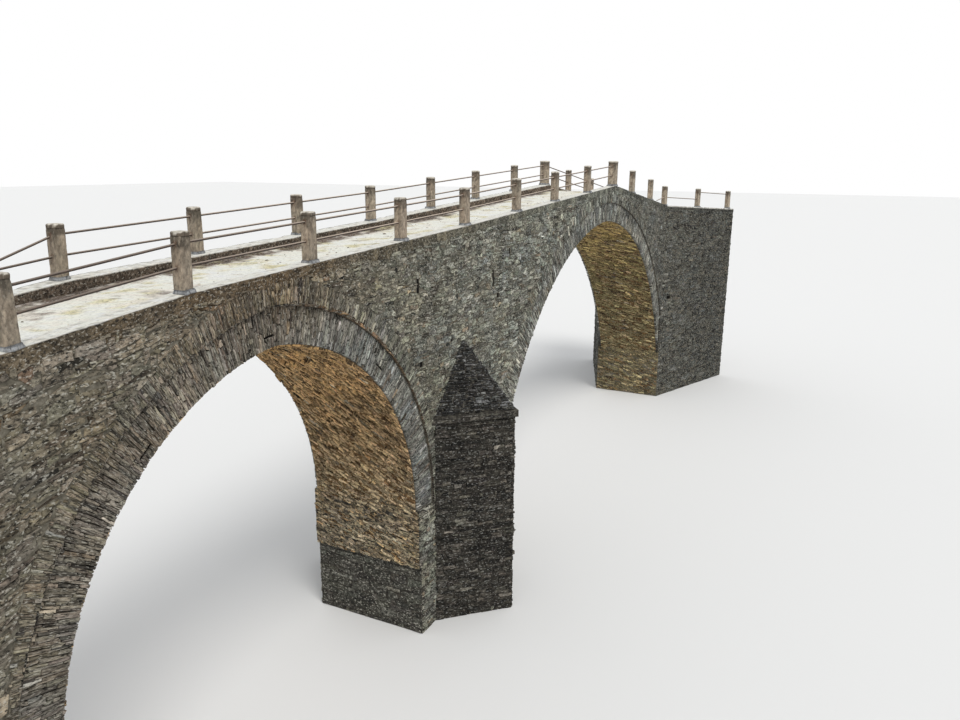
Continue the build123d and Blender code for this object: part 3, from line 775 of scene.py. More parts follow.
def step_face(layer, side, rng):
    """Stones on the narrow upright face where a right wing stands out past the foot of the large ring, painted dark
    grey-brown as the shade on this step.
    """
    start = (RIGHT_KINK, -LARGE.face if side < 0 else WALL, 0)
    # Painted shade: dark tone for the shaded step face.
    flat_patch(layer, start, (0, -1, 0), (0, 0, 1), WALL - LARGE.face, LARGE.spring, 3.66, (0.22, 0.06), (62, 59, 53),
               rng, None, 0.004, 0.2)


def intrados(layer, arch, size, turns, tones, rng):
    """Thin slabs across the underside of one arch and down the jambs.

    Turns are the angles of the slabs to the bridge's cross direction at the crown and at the foot, and tones
    the colours at the crown, halfway down and at the foot: the stones' own colour with painted warm light reflected up
    from the ground.
    """
    low = arch.crown_angle(arch.radius) * arch.radius
    high = arch.spring_angle(arch.radius) * arch.radius
    for half in (-1, 1):
        jamb_floor = FOOTING_TOP if (arch is SMALL) == (half > 0) else 0.0
        bottom = high + arch.spring - jamb_floor

        def planes(y, s):
            if abs(y) > 1.6:
                return None
            edge = arch.face if s < high else WALL
            if half > 0 and arch is LARGE and s >= high:
                edge = WALL + 0.02
            return [(0.0, -1.0, -low - 0.003), (0.0, 1.0, bottom), (1.0, 0.0, edge - 0.002), (-1.0, 0.0, edge - 0.002)]

        def place(p, h):
            s = p[:, 1]
            x, z = arch.at(half, arch.radius - h, np.minimum(s, high) / arch.radius)
            x = np.where(s > high, arch.foot(half) - half * h, x)
            z = np.where(s > high, arch.spring - (s - high), z)
            return np.stack([x, p[:, 0], z], 1)

        bands = np.append(np.arange(low, bottom - 0.2, 0.42), bottom)
        for first, last in zip(bands, bands[1:]):
            share = np.clip(((first + last) / 2 / high - 0.35) / 0.65, 0, 1)
            turn = radians(turns[0] + (turns[1] - turns[0]) * share)

            def along(p, c=cos(turn), s=sin(turn)):
                return np.stack([p[:, 1] * s - p[:, 0] * c, p[:, 1] * c + p[:, 0] * s], 1)

            polys = []
            for poly in slabs(rng, -2.2, 2.2, -2.2, 2.2, *size, JOINT, 0.24):
                lean, mid = rng.normal(0, 0.14), poly.mean(0)
                poly = mid + (poly - mid) @ np.array([(cos(lean), sin(lean)), (-sin(lean), cos(lean))])
                poly = along(poly) + (0, (first + last) / 2)
                if first <= poly[:, 1].mean() + rng.normal(0, 0.03) < last:
                    polys.append(poly[::-1])
            polys = trimmed(polys, planes, 0.0006)
            if not polys:
                continue
            at = middles(polys)
            depth = np.clip((at[:, 1] - low) / (bottom - low), 0, 1)
            # Tones here are partly the stones' own colour and partly painted warm light reflected from the ground.
            tone = np.stack([np.interp(depth, (0.15, 0.5, 0.9), c_) for c_ in zip(*tones)], 1)
            extras = ((0.04, (188, 164, 126)), (0.12, (108, 86, 60)), (0.03, (146, 138, 120)))
            colours = palette(rng, tone, 0.24, extras, len(polys))
            patch = field(filled(at, 0.0), 1.1, 3 + half, 3)
            colours = colours * np.exp(patch[:, None] * (0.25, 0.21, 0.13))
            layer.add(polys, place, 0.013, 0.005, colours, rng, 0.5, flip=half < 0, grain=along)


# Pier, cutwaters and the cut ends


def flat_patch(layer, origin, along, up, width, bottom, top, size, tone, rng, planes_for=None, height=0.016,
               spread=0.25, extras=(), shade=None):
    """Rubble on a flat face: origin at its low left corner as seen from outside."""
    origin, along, up = Vector(origin), Vector(along).normalized(), Vector(up).normalized()
    out = along.cross(up)
    length, course = size
    polys = slabs(rng, -0.3, width + 0.3, bottom - 0.2, top + 0.2, length, course, 0.006, 0.15)

    def planes(u, v):
        if not bottom - 0.2 < v < top + 0.2:
            return None
        found = [(-1.0, 0.0, 0.0), (1.0, 0.0, width), (0.0, -1.0, -bottom), (0.0, 1.0, top)]
        return found + (planes_for(u, v) if planes_for else [])

    polys = trimmed(polys, planes, 0.0010)
    colours = palette(rng, tone, spread, extras, len(polys))
    if shade:
        at = middles(polys)
        colours = np.minimum(colours * shade(at[:, 0], at[:, 1])[:, None], 0.24)
    o, a, b, n = (np.array(v) for v in (origin, along, up, out))

    def place(p, h):
        return o + p[:, :1] * a + p[:, 1:] * b + h[:, None] * n

    layer.add(polys, place, height, 0.010, colours, rng, 0.4)


def cutwater_faces(layer, side, rng):
    """Both flanks of a nose, and of the pyramid over it."""
    wall_y, nose_y = side * WALL, side * (WALL + CUT_NOSE)
    flank = sqrt(CUT_HALF ** 2 + CUT_NOSE ** 2)
    for half in (-1, 1):
        corner, nose = Vector((half * CUT_HALF, wall_y, 0)), Vector((0, nose_y, 0))
        start, stop = (corner, nose) if side * half > 0 else (nose, corner)
        along = (stop - start).normalized()
        flat_patch(layer, start, along, (0, 0, 1), flank, 0.0, CUT_TOP - LEDGE - 0.004, (0.20, 0.065),
                   (76, 72, 65), rng, None, 0.018, 0.24, ((0.08, (112, 108, 99)), (0.18, (42, 40, 36))))
        out = along.cross(Vector((0, 0, 1)))
        flat_patch(layer, start + out * LEDGE_OUT, along, (0, 0, 1), flank, CUT_TOP - LEDGE + 0.004, CUT_TOP - 0.004,
                   (0.34, 0.075), (84, 80, 74), rng, None, 0.006, 0.2, ((0.2, (120, 116, 106)),))
        start = start + Vector((0, 0, CUT_TOP))
        point = Vector((0, wall_y, CUT_TOP + CAP_RISE))
        foot = start + along * (point - start).dot(along)
        rise = point - foot
        mid = (foot - start).length

        def slopes(u, v, mid=mid, tall=rise.length):
            return [(-1.0, mid / tall, 0.0), (1.0, (flank - mid) / tall, flank)]

        nose_u = flank if side * half > 0 else 0.0

        def paler(u, v, mid=mid, tall=rise.length, nose_u=nose_u):
            ridge = nose_u + (mid - nose_u) * v / tall
            low = np.clip((0.62 - v / tall) / 0.2, 0, 1)
            return 0.9 + 1.0 * low * np.clip((0.62 - np.abs(u - ridge)) / 0.35, 0, 1)

        flat_patch(layer, start, along, rise, flank, 0.0, rise.length, (0.17, 0.052), (64, 64, 63), rng, slopes,
                   0.020, 0.28, ((0.12, (124, 124, 121)), (0.20, (34, 34, 34))), paler)


def pier_faces(layer, rng):
    """Sides of the footing under the two arches."""
    for half in (-1, 1):
        start = (half * FOOTING, -half * WALL, 0)
        flat_patch(layer, start, (0, half, 0), (0, 0, 1), 2 * WALL, 0.0, FOOTING_TOP, (0.34, 0.13), (88, 87, 79), rng,
                   None, 0.010, 0.14, ((0.08, (112, 110, 102)), (0.10, (66, 65, 60))))


def end_faces(layer, rng):
    """Cut ends, where the road goes on."""
    for end, limit in ((-1, LEFT_END), (1, RIGHT_END)):
        reach = WALL + splay(limit)
        top = kerb_top(limit) - KERB_HEIGHT - 0.004
        start = (limit, -end * reach, 0)
        flat_patch(layer, start, (0, end, 0), (0, 0, 1), 2 * reach, 0.0, top, (0.28, 0.095), (140, 134, 121), rng,
                   None, 0.003, 0.13, ((0.05, (166, 162, 151)), (0.06, (96, 91, 82))))


def shade_plates_in_holes():
    """Dark plates inside the slots in the walls and the places where ring stones have fallen out: painted shade for the
    insides of these holes.
    """
    material, tree, shader = new_material("painted_hole_shade", 1.0, 0.1)
    # Painted shade: near-black colour of the holes' insides.
    colour = ramp(tree, cloud(tree, 20.0, 4.0, 0.6), ((0.4, (12, 11, 10)), (0.7, (30, 27, 24))))
    tree.links.new(colour, shader.inputs["Base Color"])
    corners = np.array([(u, v, w) for u in (-1, 1) for v in (-1, 1) for w in (-1, 1)], float)
    faces = np.array([(0, 1, 3, 2), (4, 6, 7, 5), (0, 4, 5, 1), (2, 3, 7, 6), (0, 2, 6, 4), (1, 5, 7, 3)])
    points, quads = [], []

    def shade_plate(centre, u, v, w):
        quads.append(faces + 8 * len(points))
        points.append(np.asarray(centre) + corners @ np.array([u, v, w]))

    for side in (-1, 1):
        for x, z, width, height in SLOTS:
            shade_plate((x, side * (WALL - 0.022), z), (width / 2 + 0.012, 0, 0), (0, 0.02, 0), (0, 0, height / 2 + 0.012))
        s, z, width, height = WING_SLOT
        out = WALL + s * sin(SPLAY) - 0.05 * cos(SPLAY)
        at = (RIGHT_KINK + s * cos(SPLAY) + 0.05 * sin(SPLAY), side * out, z)
        shade_plate(at, (cos(SPLAY) * (width / 2 - 0.001), side * sin(SPLAY) * (width / 2 - 0.001), 0),
             (-0.02 * sin(SPLAY), 0.02 * side * cos(SPLAY), 0), (0, 0, height / 2 - 0.001))
    for half, r, angle in RING_GAPS:
        x, z = SMALL.at(half, r, angle)
        shade_plate((x, -(SMALL.face - 0.008), z), (0.14 * cos(angle), 0, -half * 0.14 * sin(angle)), (0, 0.02, 0),
             (half * 0.021 * sin(angle), 0, 0.021 * cos(angle)))
    mesh_object("painted_hole_shade_plates", "dark_stone", material, np.concatenate(points), np.concatenate(quads), ())


# Kerbs, roadway and posts


def grid_quads(count, columns, closed_round):
    """Faces of a grid of points, closed round its columns if asked."""
    i = np.arange(count - 1)[:, None] * columns
    j = np.arange(columns if closed_round else columns - 1)[None, :]
    k = (j + 1) % columns
    return np.stack([i + j, i + k, i + columns + k, i + columns + j], -1).reshape(-1, 4)


def closed(count, columns):
    """Faces of a closed prism: sides as quads, both ends as fans."""
    fan = np.stack([np.zeros(columns - 2, int), np.arange(1, columns - 1), np.arange(2, columns)], 1)
    return grid_quads(count, columns, True), np.concatenate([fan[:, (0, 2, 1)], fan + (count - 1) * columns])


def kerbs():
    """Weathered concrete kerbs: pale worn tops, ragged outer edges, and sides like the wall."""
    face = (1.350, 1.355, 1.361, 1.367, 1.372, 1.376, 1.378, 1.379)
    profile = np.array(
        list(zip(face, (-0.27, -0.235, -0.20, -0.165, -0.13, -0.095, -0.06, -0.03)))
        + [(1.376, -0.010), (1.366, -0.001)]
        + [(y, 0.0) for y in (1.33, 1.29, 1.25, 1.21, 1.17, 1.13, 1.09, 1.065)]
        + [(1.046, -0.006)] + [(1.04, z) for z in (-0.03, -0.09, -0.15, -0.21, -0.27)])
    out = np.repeat([(1, 0), (0.7, 0.7), (0, 1), (-0.7, 0.7), (-1, 0)], (8, 2, 8, 1, 5), 0)
    run = np.cumsum(np.r_[0, np.hypot(*np.diff(profile, axis=0).T)])
    stations = lengthwise(KERB_STEP)
    n, count = len(profile), len(stations)
    x, around = np.repeat(stations, n), np.tile(run, count)
    hidden = np.isin(np.tile(np.arange(n), count), (0, n - 1))
    heap = Heap("kerb_concrete", "kerb_concrete", KERB_CONCRETE, True)
    for side in (-1, 1):
        y, z, ny, nz = np.tile(np.column_stack([profile, out]), (count, 1)).T
        at = np.stack([x, side * y, z], 1)
        rough = field(at, 7.0, 1 + side, 3)
        pits = np.maximum(field(at, 13.0, 4 + side, 2) - 0.15, 0)
        chip = np.maximum(field(at, 5.0, 8 + side, 3) - 0.08, 0) * np.exp(-(((y - 1.37) ** 2 + z ** 2) / 0.0012))
        push = np.where(nz > 0.5, 0.003 * rough - 0.004 * pits, 0.010 * rough - 0.04 * pits) - 0.05 * chip
        push[hidden] = 0.0
        y, z = y + ny * push, z + nz * push
        at = np.stack([x, side * (y + splay(x)), kerb_top(x) + z], 1)
        tint = kerb_tint(at, ny, side, rough, pits + 2 * chip)
        quads, tris = closed(count, n)
        if side < 0:
            quads, tris = quads[:, ::-1], tris[:, ::-1]
        heap.put(at, tint, filled(np.stack([x, around], 1), 5.0 * side), quads, tris)
    made = heap.build()
    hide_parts(*[n for n in nodes if n.startswith("kerbs")])


def kerb_tint(at, ny, side, rough, worn):
    """Colour of the kerbs: bleached on top, the wall's own tone outside, and inside dark on the far side as painted
    shade.
    """
    spots = field(at, 22.0, 3, 2)
    warm = np.clip((4 - at[:, 0]) / 5, 0, 1)[:, None]
    outer = linear(wall_base(at[:, 0]) * (np.array((0.80, 0.80, 0.78)) - warm * (0.0, 0.04, 0.07)))
    outer = weather(outer, at[:, 0], np.full(len(at), 8.4), 1) * np.exp(0.3 * rough + 0.4 * spots)[:, None]
    # Painted shade: the far kerb's inner face is darker than the near one's, a little lighter to the right.
    inner = linear((160, 150, 132)) if side < 0 else linear((106, 93, 80)) * (1 + 0.4 * np.clip(at[:, :1] / 6, 0, 1))
    inner = inner * np.exp(0.6 * rough + 0.7 * spots)[:, None]
    flat = linear((246, 242, 231)) * np.exp(0.10 * rough + 0.10 * spots)[:, None]
    tint = np.where((ny > 0.5)[:, None], outer, np.where((ny < -0.9)[:, None], inner, flat))
    arris = (at[:, 0] > RIGHT_KINK) & (ny > 0.5) & (at[:, 2] > kerb_top(at[:, 0]) - 0.04)
    tint = np.where(arris[:, None], flat, tint)
    tint = np.clip(tint * np.exp(-np.where(np.abs(ny - 0.2) < 0.8, 1.2, 0.6) * worn)[:, None], 0.01, 0.88)
    return np.column_stack([tint, np.where((ny < 0.5) & (ny > -0.9), 0.24, 1.0)])


def roadway():
    """Sandy gravel between the kerbs, with moss along its edges, a brown band along the far kerb that is partly leaves
    and dirt and partly painted shade, and loose pebbles on it.
    """
    stations = lengthwise(ROAD_STEP)
    across = np.sin(np.linspace(-0.5, 0.5, 27) * pi)
    n = len(across)
    x, share = np.repeat(stations, n), np.tile(across, len(stations))
    y = share * (KERB_INNER - 0.002 + splay(x))
    level = kerb_top(x) - KERB_UPSTAND
    at = np.stack([x, y, 0 * x], 1)
    broad, fine = field(at, 0.9, 2, 3), field(at, 7.0, 6, 4)
    edge = np.clip((np.abs(y) - splay(x) - 0.62) / 0.40, 0, 1)
    z = level + 0.006 + 0.007 * np.clip(broad, -0.8, 1) + 0.004 * fine + 0.03 * edge ** 2 * np.clip(1 + broad, 0.3, 2)
    sand = linear((250, 243, 230)) * np.exp(0.07 * broad + 0.10 * fine)[:, None]
    moss = linear((214, 204, 128)) * np.exp(0.3 * fine)[:, None]
    litter_and_shade = linear((92, 75, 63)) * np.exp(0.8 * fine)[:, None]
    green = np.clip(edge * 0.7 + field(at, 2.4, 9, 4) * 2.8 - 0.60, 0, 1)[:, None] * 0.6
    # Brown band at the far kerb: partly leaves and dirt, partly painted shade at the kerb's foot.
    swept_and_shaded = np.where(y > 0, np.clip((share - 0.64) * 8, 0, 1.6), 0.25 * edge)
    brown = np.clip(swept_and_shaded + field(at, 2.3, 5, 3) * 1.0 + 1.1 * fine - 0.5, 0, 1)[:, None] * 0.92
    tint = sand * (1 - green) + moss * green
    tint = np.clip(tint * (1 - brown) + litter_and_shade * brown, 0, 0.88)
    tint = np.column_stack([tint, 0.22 + 0.6 * np.maximum(green, brown)])
    top = np.stack([x, y, z], 1)
    count, sides = len(top), len(stations)
    upper = grid_quads(sides, n, False)[:, ::-1]
    rim = np.concatenate([np.arange(n), np.arange(2, sides + 1) * n - 1, count - 2 - np.arange(n - 1),
                          np.arange(sides - 2, 0, -1) * n])
    below = count + np.arange(len(rim))
    skirt = np.stack([rim, below, np.roll(below, -1), np.roll(rim, -1)], 1)
    hem = np.stack([x[rim], y[rim], kerb_top(x[rim]) - KERB_HEIGHT], 1)
    right = count + n - 1 + np.arange(sides)
    left = count + (len(rim) - np.arange(sides)) % len(rim)
    under = np.stack([left[:-1], right[:-1], right[1:], left[1:]], 1)[:, ::-1]
    made = mesh_object("roadway_gravel", "roadway", GRAVEL, np.concatenate([top, hem]),
                       np.concatenate([upper, skirt, under]), (), np.concatenate([tint, tint[rim]]),
                       np.concatenate([at, at[rim]]), True)
    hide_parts(*[n for n in nodes if n.startswith("deck")])
    pebbles()


def icosahedron():
    a, b = 0.5257, 0.8507
    points = np.array([(-a, b, 0), (a, b, 0), (-a, -b, 0), (a, -b, 0), (0, -a, b), (0, a, b),
                       (0, -a, -b), (0, a, -b), (b, 0, -a), (b, 0, a), (-b, 0, -a), (-b, 0, a)])
    faces = np.array([(0, 11, 5), (0, 5, 1), (0, 1, 7), (0, 7, 10), (0, 10, 11), (1, 5, 9), (5, 11, 4),
                      (11, 10, 2), (10, 7, 6), (7, 1, 8), (3, 9, 4), (3, 4, 2), (3, 2, 6), (3, 6, 8),
                      (3, 8, 9), (4, 9, 5), (2, 4, 11), (6, 2, 10), (8, 6, 7), (9, 8, 1)])
    return points, faces


def pebbles():
    """Loose stones half sunk in the gravel, most of them near the kerbs."""
    rng = np.random.default_rng(21)
    x = rng.uniform(LEFT_END + 0.1, RIGHT_END - 0.1, PEBBLES)
    beside = rng.random(PEBBLES) < 0.55
    edges = rng.choice((-1, 1), PEBBLES) * (1 - np.abs(rng.normal(0, 0.14, PEBBLES)))
    share = np.clip(np.where(beside, edges, rng.uniform(-1, 1, PEBBLES)), -0.965, 0.965)
    y = share * (KERB_INNER + splay(x))
    size = np.clip(rng.lognormal(-4.3, 0.42, PEBBLES), 0.006, 0.045)
    base, faces = icosahedron()
    turn = rng.uniform(0, 2 * pi, PEBBLES)
    shape = base[None] * (1 + rng.normal(0, 0.14, (PEBBLES, 12, 1))) * size[:, None, None]
    shape = shape * np.stack([rng.uniform(a, b, PEBBLES) for a, b in ((0.8, 1.5), (0.7, 1.1), (0.4, 0.8))], 1)[:, None]
    c, s_ = np.cos(turn)[:, None], np.sin(turn)[:, None]
    level = kerb_top(x) - KERB_UPSTAND + 0.008
    points = np.stack([x[:, None] + shape[..., 0] * c - shape[..., 1] * s_,
                       y[:, None] + shape[..., 0] * s_ + shape[..., 1] * c, level[:, None] + shape[..., 2]], -1)
    colours = palette(rng, (222, 215, 200), 0.12, ((0.22, (170, 162, 148)), (0.12, (118, 108, 94))), PEBBLES)
    tris = (np.arange(PEBBLES)[:, None, None] * 12 + faces[None]).reshape(-1, 3)
    points = points.reshape(-1, 3)
    mesh_object("pebbles", "roadway", GRAVEL, points, (), tris, filled(np.repeat(colours, 12, 0), 0.3), points)


# Posts, caps and mortar beds

STATIONS = (-14.792, -12.348, -9.905, -7.525, -4.935, -2.235, 0.355, 3.115, 5.695, 8.415, 10.985, 13.375, 16.015,
            18.385, 20.828, 23.271)
APEX = 10
POST_LINE = 1.22
POST_HEIGHT = 0.80
CAP_HEIGHT = 0.07
SOCKETS = (0.64, 0.336)
# Sideways lean of posts, in metres at the top, near side first
LEANS = {(-1, 2): -0.020, (-1, 3): 0.016, (1, 3): 0.022, (1, 2): 0.014, (-1, 5): 0.008, (1, 5): -0.008}


def post_frame(index, side):
    """Foot of a post and the level ways along and across the bridge there."""
    x = STATIONS[index]
    turn = 0.0 if LEFT_KINK < x < RIGHT_KINK - 0.01 else SPLAY * (1 if x > 0 else -1)
    foot = np.array([x, side * (POST_LINE + splay(x)), kerb_top(x)])
    along = np.array([cos(turn), side * sin(turn), 0.0])
    across = np.array([-side * sin(turn), cos(turn), 0.0])
    return foot, along, across


def square_ring(half, soft, steps):
    """Outline of a square with softened corners, counter-clockwise, and its outward ways."""
    points, ways = [], []
    for k in range(4):
        a = pi / 2 * k
        way, edge = np.array([cos(a), sin(a)]), np.array([-sin(a), cos(a)])
        for t in np.linspace(-1, 1, steps):
            points.append(way * half + edge * t * (half - soft))
            ways.append(way if abs(t) < 0.99 else (way + edge * np.sign(t)) / sqrt(2))
    return np.array(points), np.array(ways)


def stack(heap, stand, rows, brightest, mottle, lean=0.0, tilt=0.0):
    """Closed form from rows of level, outline, colours and grain, in the frame of one post."""
    foot, along, across = stand
    points = np.concatenate([foot + (ring[:, :1] + lean * level / POST_HEIGHT) * along + ring[:, 1:] * across
                             + np.array([0, 0, level]) for level, ring, _, _ in rows])
    points[:, 2] += tilt * (points[:, 0] - foot[0])
    tints = np.clip(np.concatenate([row[2] for row in rows]), 0.01, brightest)
    lies = np.concatenate([row[3] for row in rows])
    heap.put(points, filled(tints, mottle), lies, *closed(len(rows), len(rows[0][1])))


def posts():
    """Square concrete posts with streaks and rust, mortar caps and mortar beds."""
    rng = np.random.default_rng(31)
    caps = Heap("post_tops", "mortar", POST_SKIN, True)
    beds = Heap("post_beds", "mortar", POST_SKIN, True)
    for side, word in ((-1, "near"), (1, "far")):
        shafts = Heap(f"post_shafts_{word}", "post_concrete", POST_SKIN, True)
        for index in range(len(STATIONS)):
            half = 0.131 if index == APEX else 0.0925
            stand = post_frame(index, side)
            lean = LEANS.get((side, index), float(rng.normal(0, 0.004)))
            one_post(shafts, stand, half, lean, side, index)
            one_cap(caps, stand, half, lean, side, index)
            one_bed(beds, stand, half, side, index)
        shafts.build(f"posts_{word}")
    caps.build("post_caps")
    beds.build("post_pads")


def one_post(heap, stand, half, lean, side, index):
    """Shaft with streaks, a dark neck, rust that runs from the rails' sockets, and painted shadow at its foot."""
    neck = POST_HEIGHT - CAP_HEIGHT
    levels = np.concatenate([[0.0, 0.02, 0.05], np.linspace(0.09, neck - 0.03, 15), [neck - 0.012, neck + 0.004]])
    ring, ways = square_ring(half, 0.012, 6)
    around = np.arange(len(ring)) / len(ring) * 8 * half
    rows = []
    for level in levels:
        at = filled(ring + 9 * index, level + 5 * side)
        dent = field(at, 9.0, index, 3)
        nick = np.maximum(field(at, 26.0, index + 3, 2) - 0.25, 0)
        inward = 0.004 if level > neck - 0.02 else 0.0
        streak = field(filled(filled(around, level * 0.10), 0.0), 15.0, index + 2 * side, 2)
        spot = field(at, 30.0, 7, 2)
        tone = linear((158, 147, 130)) * (1 + 0.018 * index) * np.exp(0.42 * streak + 0.42 * spot)[:, None]
        pink = np.clip(0.5 + 0.9 * field(at, 3.0, index, 2), 0, 1)[:, None]
        tone = tone * (1 + pink * (0.04, -0.02, -0.04))
        high = np.clip((level - 0.50 - 0.16 * dent) / 0.16, 0, 1)[:, None]
        # Painted shadow: the last centimetres of the shaft are darkened, for the dark line at the post's foot.
        tone = tone * (1 - 0.58 * high) * (1 - 0.66 * np.exp(-level / 0.018))
        for height in SOCKETS:
            below = height - level
            reach = np.exp(-(ring[:, 1] / 0.028) ** 2) * (np.abs(ring[:, 0]) > half - 0.02)
            run = 0.75 * (np.exp(-max(below, 0) / 0.06) if below > -0.03 else 0.0) * reach[:, None]
            tone = tone * (1 - run) + linear((112, 76, 54)) * run
        outline = ring + ways * (0.002 * dent - 0.008 * nick - 0.002 - inward)[:, None]
        lie = np.column_stack([np.full(len(ring), level * 0.55), filled(around, index + 20.0 * side)])
        rows.append((level, outline, tone, lie))
    stack(heap, stand, rows, 0.85, 0.60, lean)


def one_cap(heap, stand, half, lean, side, index):
    """Rounded mortar cap, pale on top, its lowest edge darkened as painted shadow under the lip."""
    spread = half + (0.014 if index == APEX else 0.006)
    shape = ((0.000, 0.95), (0.010, 1.0), (0.040, 1.0), (0.054, 0.97), (0.063, 0.88), (0.067, 0.62), (0.069, 0.30))
    if index == APEX:
        shape = ((0.000, 0.95), (0.006, 1.0), (0.050, 1.0), (0.060, 0.97), (0.066, 0.80), (0.068, 0.50), (0.070, 0.25))
    ring, _ = square_ring(1.0, 0.30, 5)
    dull = np.interp(index, (3, 7), (0.052, 0.030))
    rows = []
    for rise, width in shape:
        at = filled(ring * 0.1 + 3 * index, rise + 2 * side)
        dent = field(at, 16.0, index, 2)
        plan = ring * spread * width
        top = np.clip((rise - dull - 0.024 * dent) / 0.008, 0, 1)[:, None]
        tone = linear((106, 95, 83)) * (1 - top) + linear((220, 213, 199)) * top
        # Painted shadow: the lowest ring of the cap is darkened, for the shade under its lip.
        tone = tone * np.exp(0.3 * field(at, 40.0, 2, 2))[:, None] * (0.5 if rise < 0.005 else 1.0)
        rows.append((POST_HEIGHT - CAP_HEIGHT + rise, plan * (0.98 + 0.03 * dent[:, None]), tone,
                     filled(plan, 3.0 * index + side)))
    stack(heap, stand, rows, 0.88, 0.4, lean)


def one_bed(heap, stand, half, side, index):
    """Mortar wedge under a post, over the kerb's outer edge, pale grey with a bluish cast of painted sky light in
    shade, its top rows darkened as painted shadow at the post's foot.
    """
    ring, _ = square_ring(1.0, 0.2, 5)
    rows = []
    for rise, width in ((-0.010, 1.16), (0.010, 1.14), (0.028, 1.08), (0.040, 1.03), (0.049, 0.98)):
        dent = field(filled(ring * 0.1 + 5 * index, rise + 4 * side), 12.0, index + 9, 2)[:, None]
        plan = ring * half * width * (1 + 0.10 * dent)
        outward = side * np.minimum(np.abs(plan[:, 1]) * 1.3, 0.150)
        plan[:, 1] = np.where(ring[:, 1] * side > 0, outward, plan[:, 1])
        # Painted shadow: the upper rows of the bed are darkened under the post.
        tone = linear((166, 168, 170)) * np.exp(0.35 * dent) * (0.5 if rise > 0.035 else 1.0)
        rows.append((rise, plan, tone, filled(plan, 7.0 * index + side)))
    stack(heap, stand, rows, 0.85, 0.9, tilt=0.9 * grade(stand[0][0], 0.1))


def masonry():
    """All stones, as one joined mesh for each part of the bridge."""
    for side, word in ((-1, "near"), (1, "far")):
        rng = np.random.default_rng(11 + side)
        wall = Layer(f"wall_stones_{word}", "wall_stone", WALL_STONE, 0.85)
        wall_face(wall, side, rng)
        wall.build()
        wings = Layer(f"wing_stones_{word}", "wall_stone", WALL_STONE, 0.85)
        wing_face(wings, side, -1, rng)
        wing_face(wings, side, 1, rng)
        wings.build()
        for arch, name in ((SMALL, "small"), (LARGE, "large")):
            rings = Layer(f"{name}_ring_stones_{word}", "ring_stone", FINE_STONE, 0.80)
            arch_rings(rings, arch, side, rng)
            step_shadow_line(rings, arch, side, -1, SEAM_SHADOW, rng)
            if arch is SMALL:
                step_shadow_line(rings, arch, side, 1, BROWN_STAIN_AND_SEAM_SHADOW, rng, 0.05)
            else:
                step_shadow_line(rings, arch, side, 1, SEAM_SHADOW, rng)
                step_face(rings, side, rng)
            rings.build()
        noses = Layer(f"cutwater_stones_{word}", "dark_stone", DARK_STONE)
        cutwater_faces(noses, side, rng)
        noses.build()
    rng = np.random.default_rng(5)
    # Underside tones of both arches: the stones' own colour with painted warm light reflected up from the ground,
    # warmest at the crown.
    small = Layer("small_barrel_stones", "barrel_stone", BARREL_STONE, 0.82)
    intrados(small, SMALL, (0.15, 0.036), (84, 16), ((250, 206, 144), (212, 176, 128), (166, 154, 130)), rng)
    small.build()
    large = Layer("large_barrel_stones", "barrel_stone", BARREL_STONE, 0.82)
    intrados(large, LARGE, (0.22, 0.048), (26, 12), ((184, 159, 103), (142, 130, 90), (136, 127, 98)), rng)
    large.build()
    base = Layer("pier_stones", "dark_stone", WALL_STONE)
    pier_faces(base, rng)
    base.build()
    ends = Layer("end_stones", "wall_stone", WALL_STONE)
    end_faces(ends, rng)
    ends.build()


def dress_solids():
    """A material for each CAD node."""
    for name, obj in nodes.items():
        if "rail" in name:
            chosen = RUST
        elif name.startswith(("cutwater", "pier")):
            chosen = DARK_MORTAR
        elif "barrel" in name:
            chosen = BARREL_MORTAR
        elif "ring" in name:
            chosen = RING_MORTAR
        else:
            chosen = MORTAR
        obj.data.materials.clear()
        obj.data.materials.append(chosen)


# Stage, light and camera


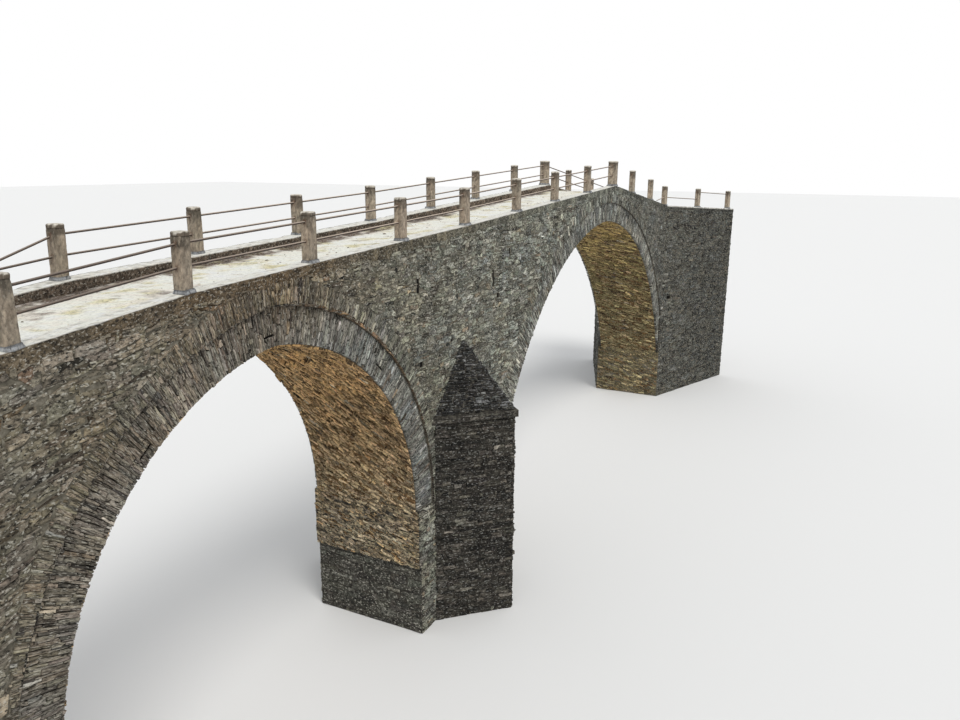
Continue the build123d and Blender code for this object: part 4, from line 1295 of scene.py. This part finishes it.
def stage():
    """Plain pale floor, white surroundings and soft light."""
    bpy.ops.mesh.primitive_plane_add(size=600, location=(0, 0, -0.002))
    floor = bpy.context.object
    floor.name = "floor"
    material, _, shader = new_material("pale_floor", 1.0)
    shader.inputs["Base Color"].default_value = (0.80, 0.80, 0.79, 1)
    floor.data.materials.append(material)
    world = bpy.data.worlds.new("studio")
    bpy.context.scene.world = world
    world.use_nodes = True
    tree = world.node_tree
    tree.nodes.clear()
    light = node(tree, "ShaderNodeBackground", {"Color": (0.95, 0.97, 1.0, 1), "Strength": 0.75})
    white = node(tree, "ShaderNodeBackground", {"Color": (1, 1, 1, 1), "Strength": 1.0})
    path = node(tree, "ShaderNodeLightPath").outputs
    seen = reckon(tree, "MAXIMUM", path["Is Camera Ray"], path["Is Glossy Ray"])
    seen = reckon(tree, "MAXIMUM", seen, path["Is Transmission Ray"])
    both = node(tree, "ShaderNodeMixShader", {0: seen, 1: light.outputs[0], 2: white.outputs[0]})
    node(tree, "ShaderNodeOutputWorld", {"Surface": both.outputs[0]})
    sun = bpy.data.lights.new("soft_sun", "SUN")
    sun.energy = 1.5
    sun.angle = radians(25)
    sun.color = (1.0, 0.98, 0.95)
    lamp = bpy.data.objects.new("soft_sun", sun)
    bpy.context.scene.collection.objects.link(lamp)
    towards = Vector((0.45, 0.62, -1.0))
    lamp.rotation_mode = "QUATERNION"
    lamp.rotation_quaternion = towards.to_track_quat("-Z", "Y")
    bpy.context.scene.view_settings.view_transform = "Standard"


def camera():
    """Camera at the photograph's viewing angle."""
    place = (-14.775, -9.154, 10.0)
    heading, pitch, roll = radians(63.52), radians(14.18), radians(0.38)
    level = Vector((sin(heading), cos(heading), 0))
    side = Vector((cos(heading), -sin(heading), 0))
    up = Vector((0, 0, 1))
    forward = cos(pitch) * level - sin(pitch) * up
    tilted = cos(pitch) * up + sin(pitch) * level
    right = cos(roll) * side + sin(roll) * tilted
    top = -sin(roll) * side + cos(roll) * tilted
    data = bpy.data.cameras.new("camera")
    data.lens = 29.1
    data.sensor_width = 36.0
    data.clip_end = 500.0
    obj = bpy.data.objects.new("camera", data)
    bpy.context.scene.collection.objects.link(obj)
    turn = Matrix((right, top, -forward)).transposed()
    obj.matrix_world = Matrix.Translation(place) @ turn.to_4x4()
    bpy.context.scene.camera = obj


dress_solids()
masonry()
shade_plates_in_holes()
kerbs()
roadway()
posts()
stage()
camera()
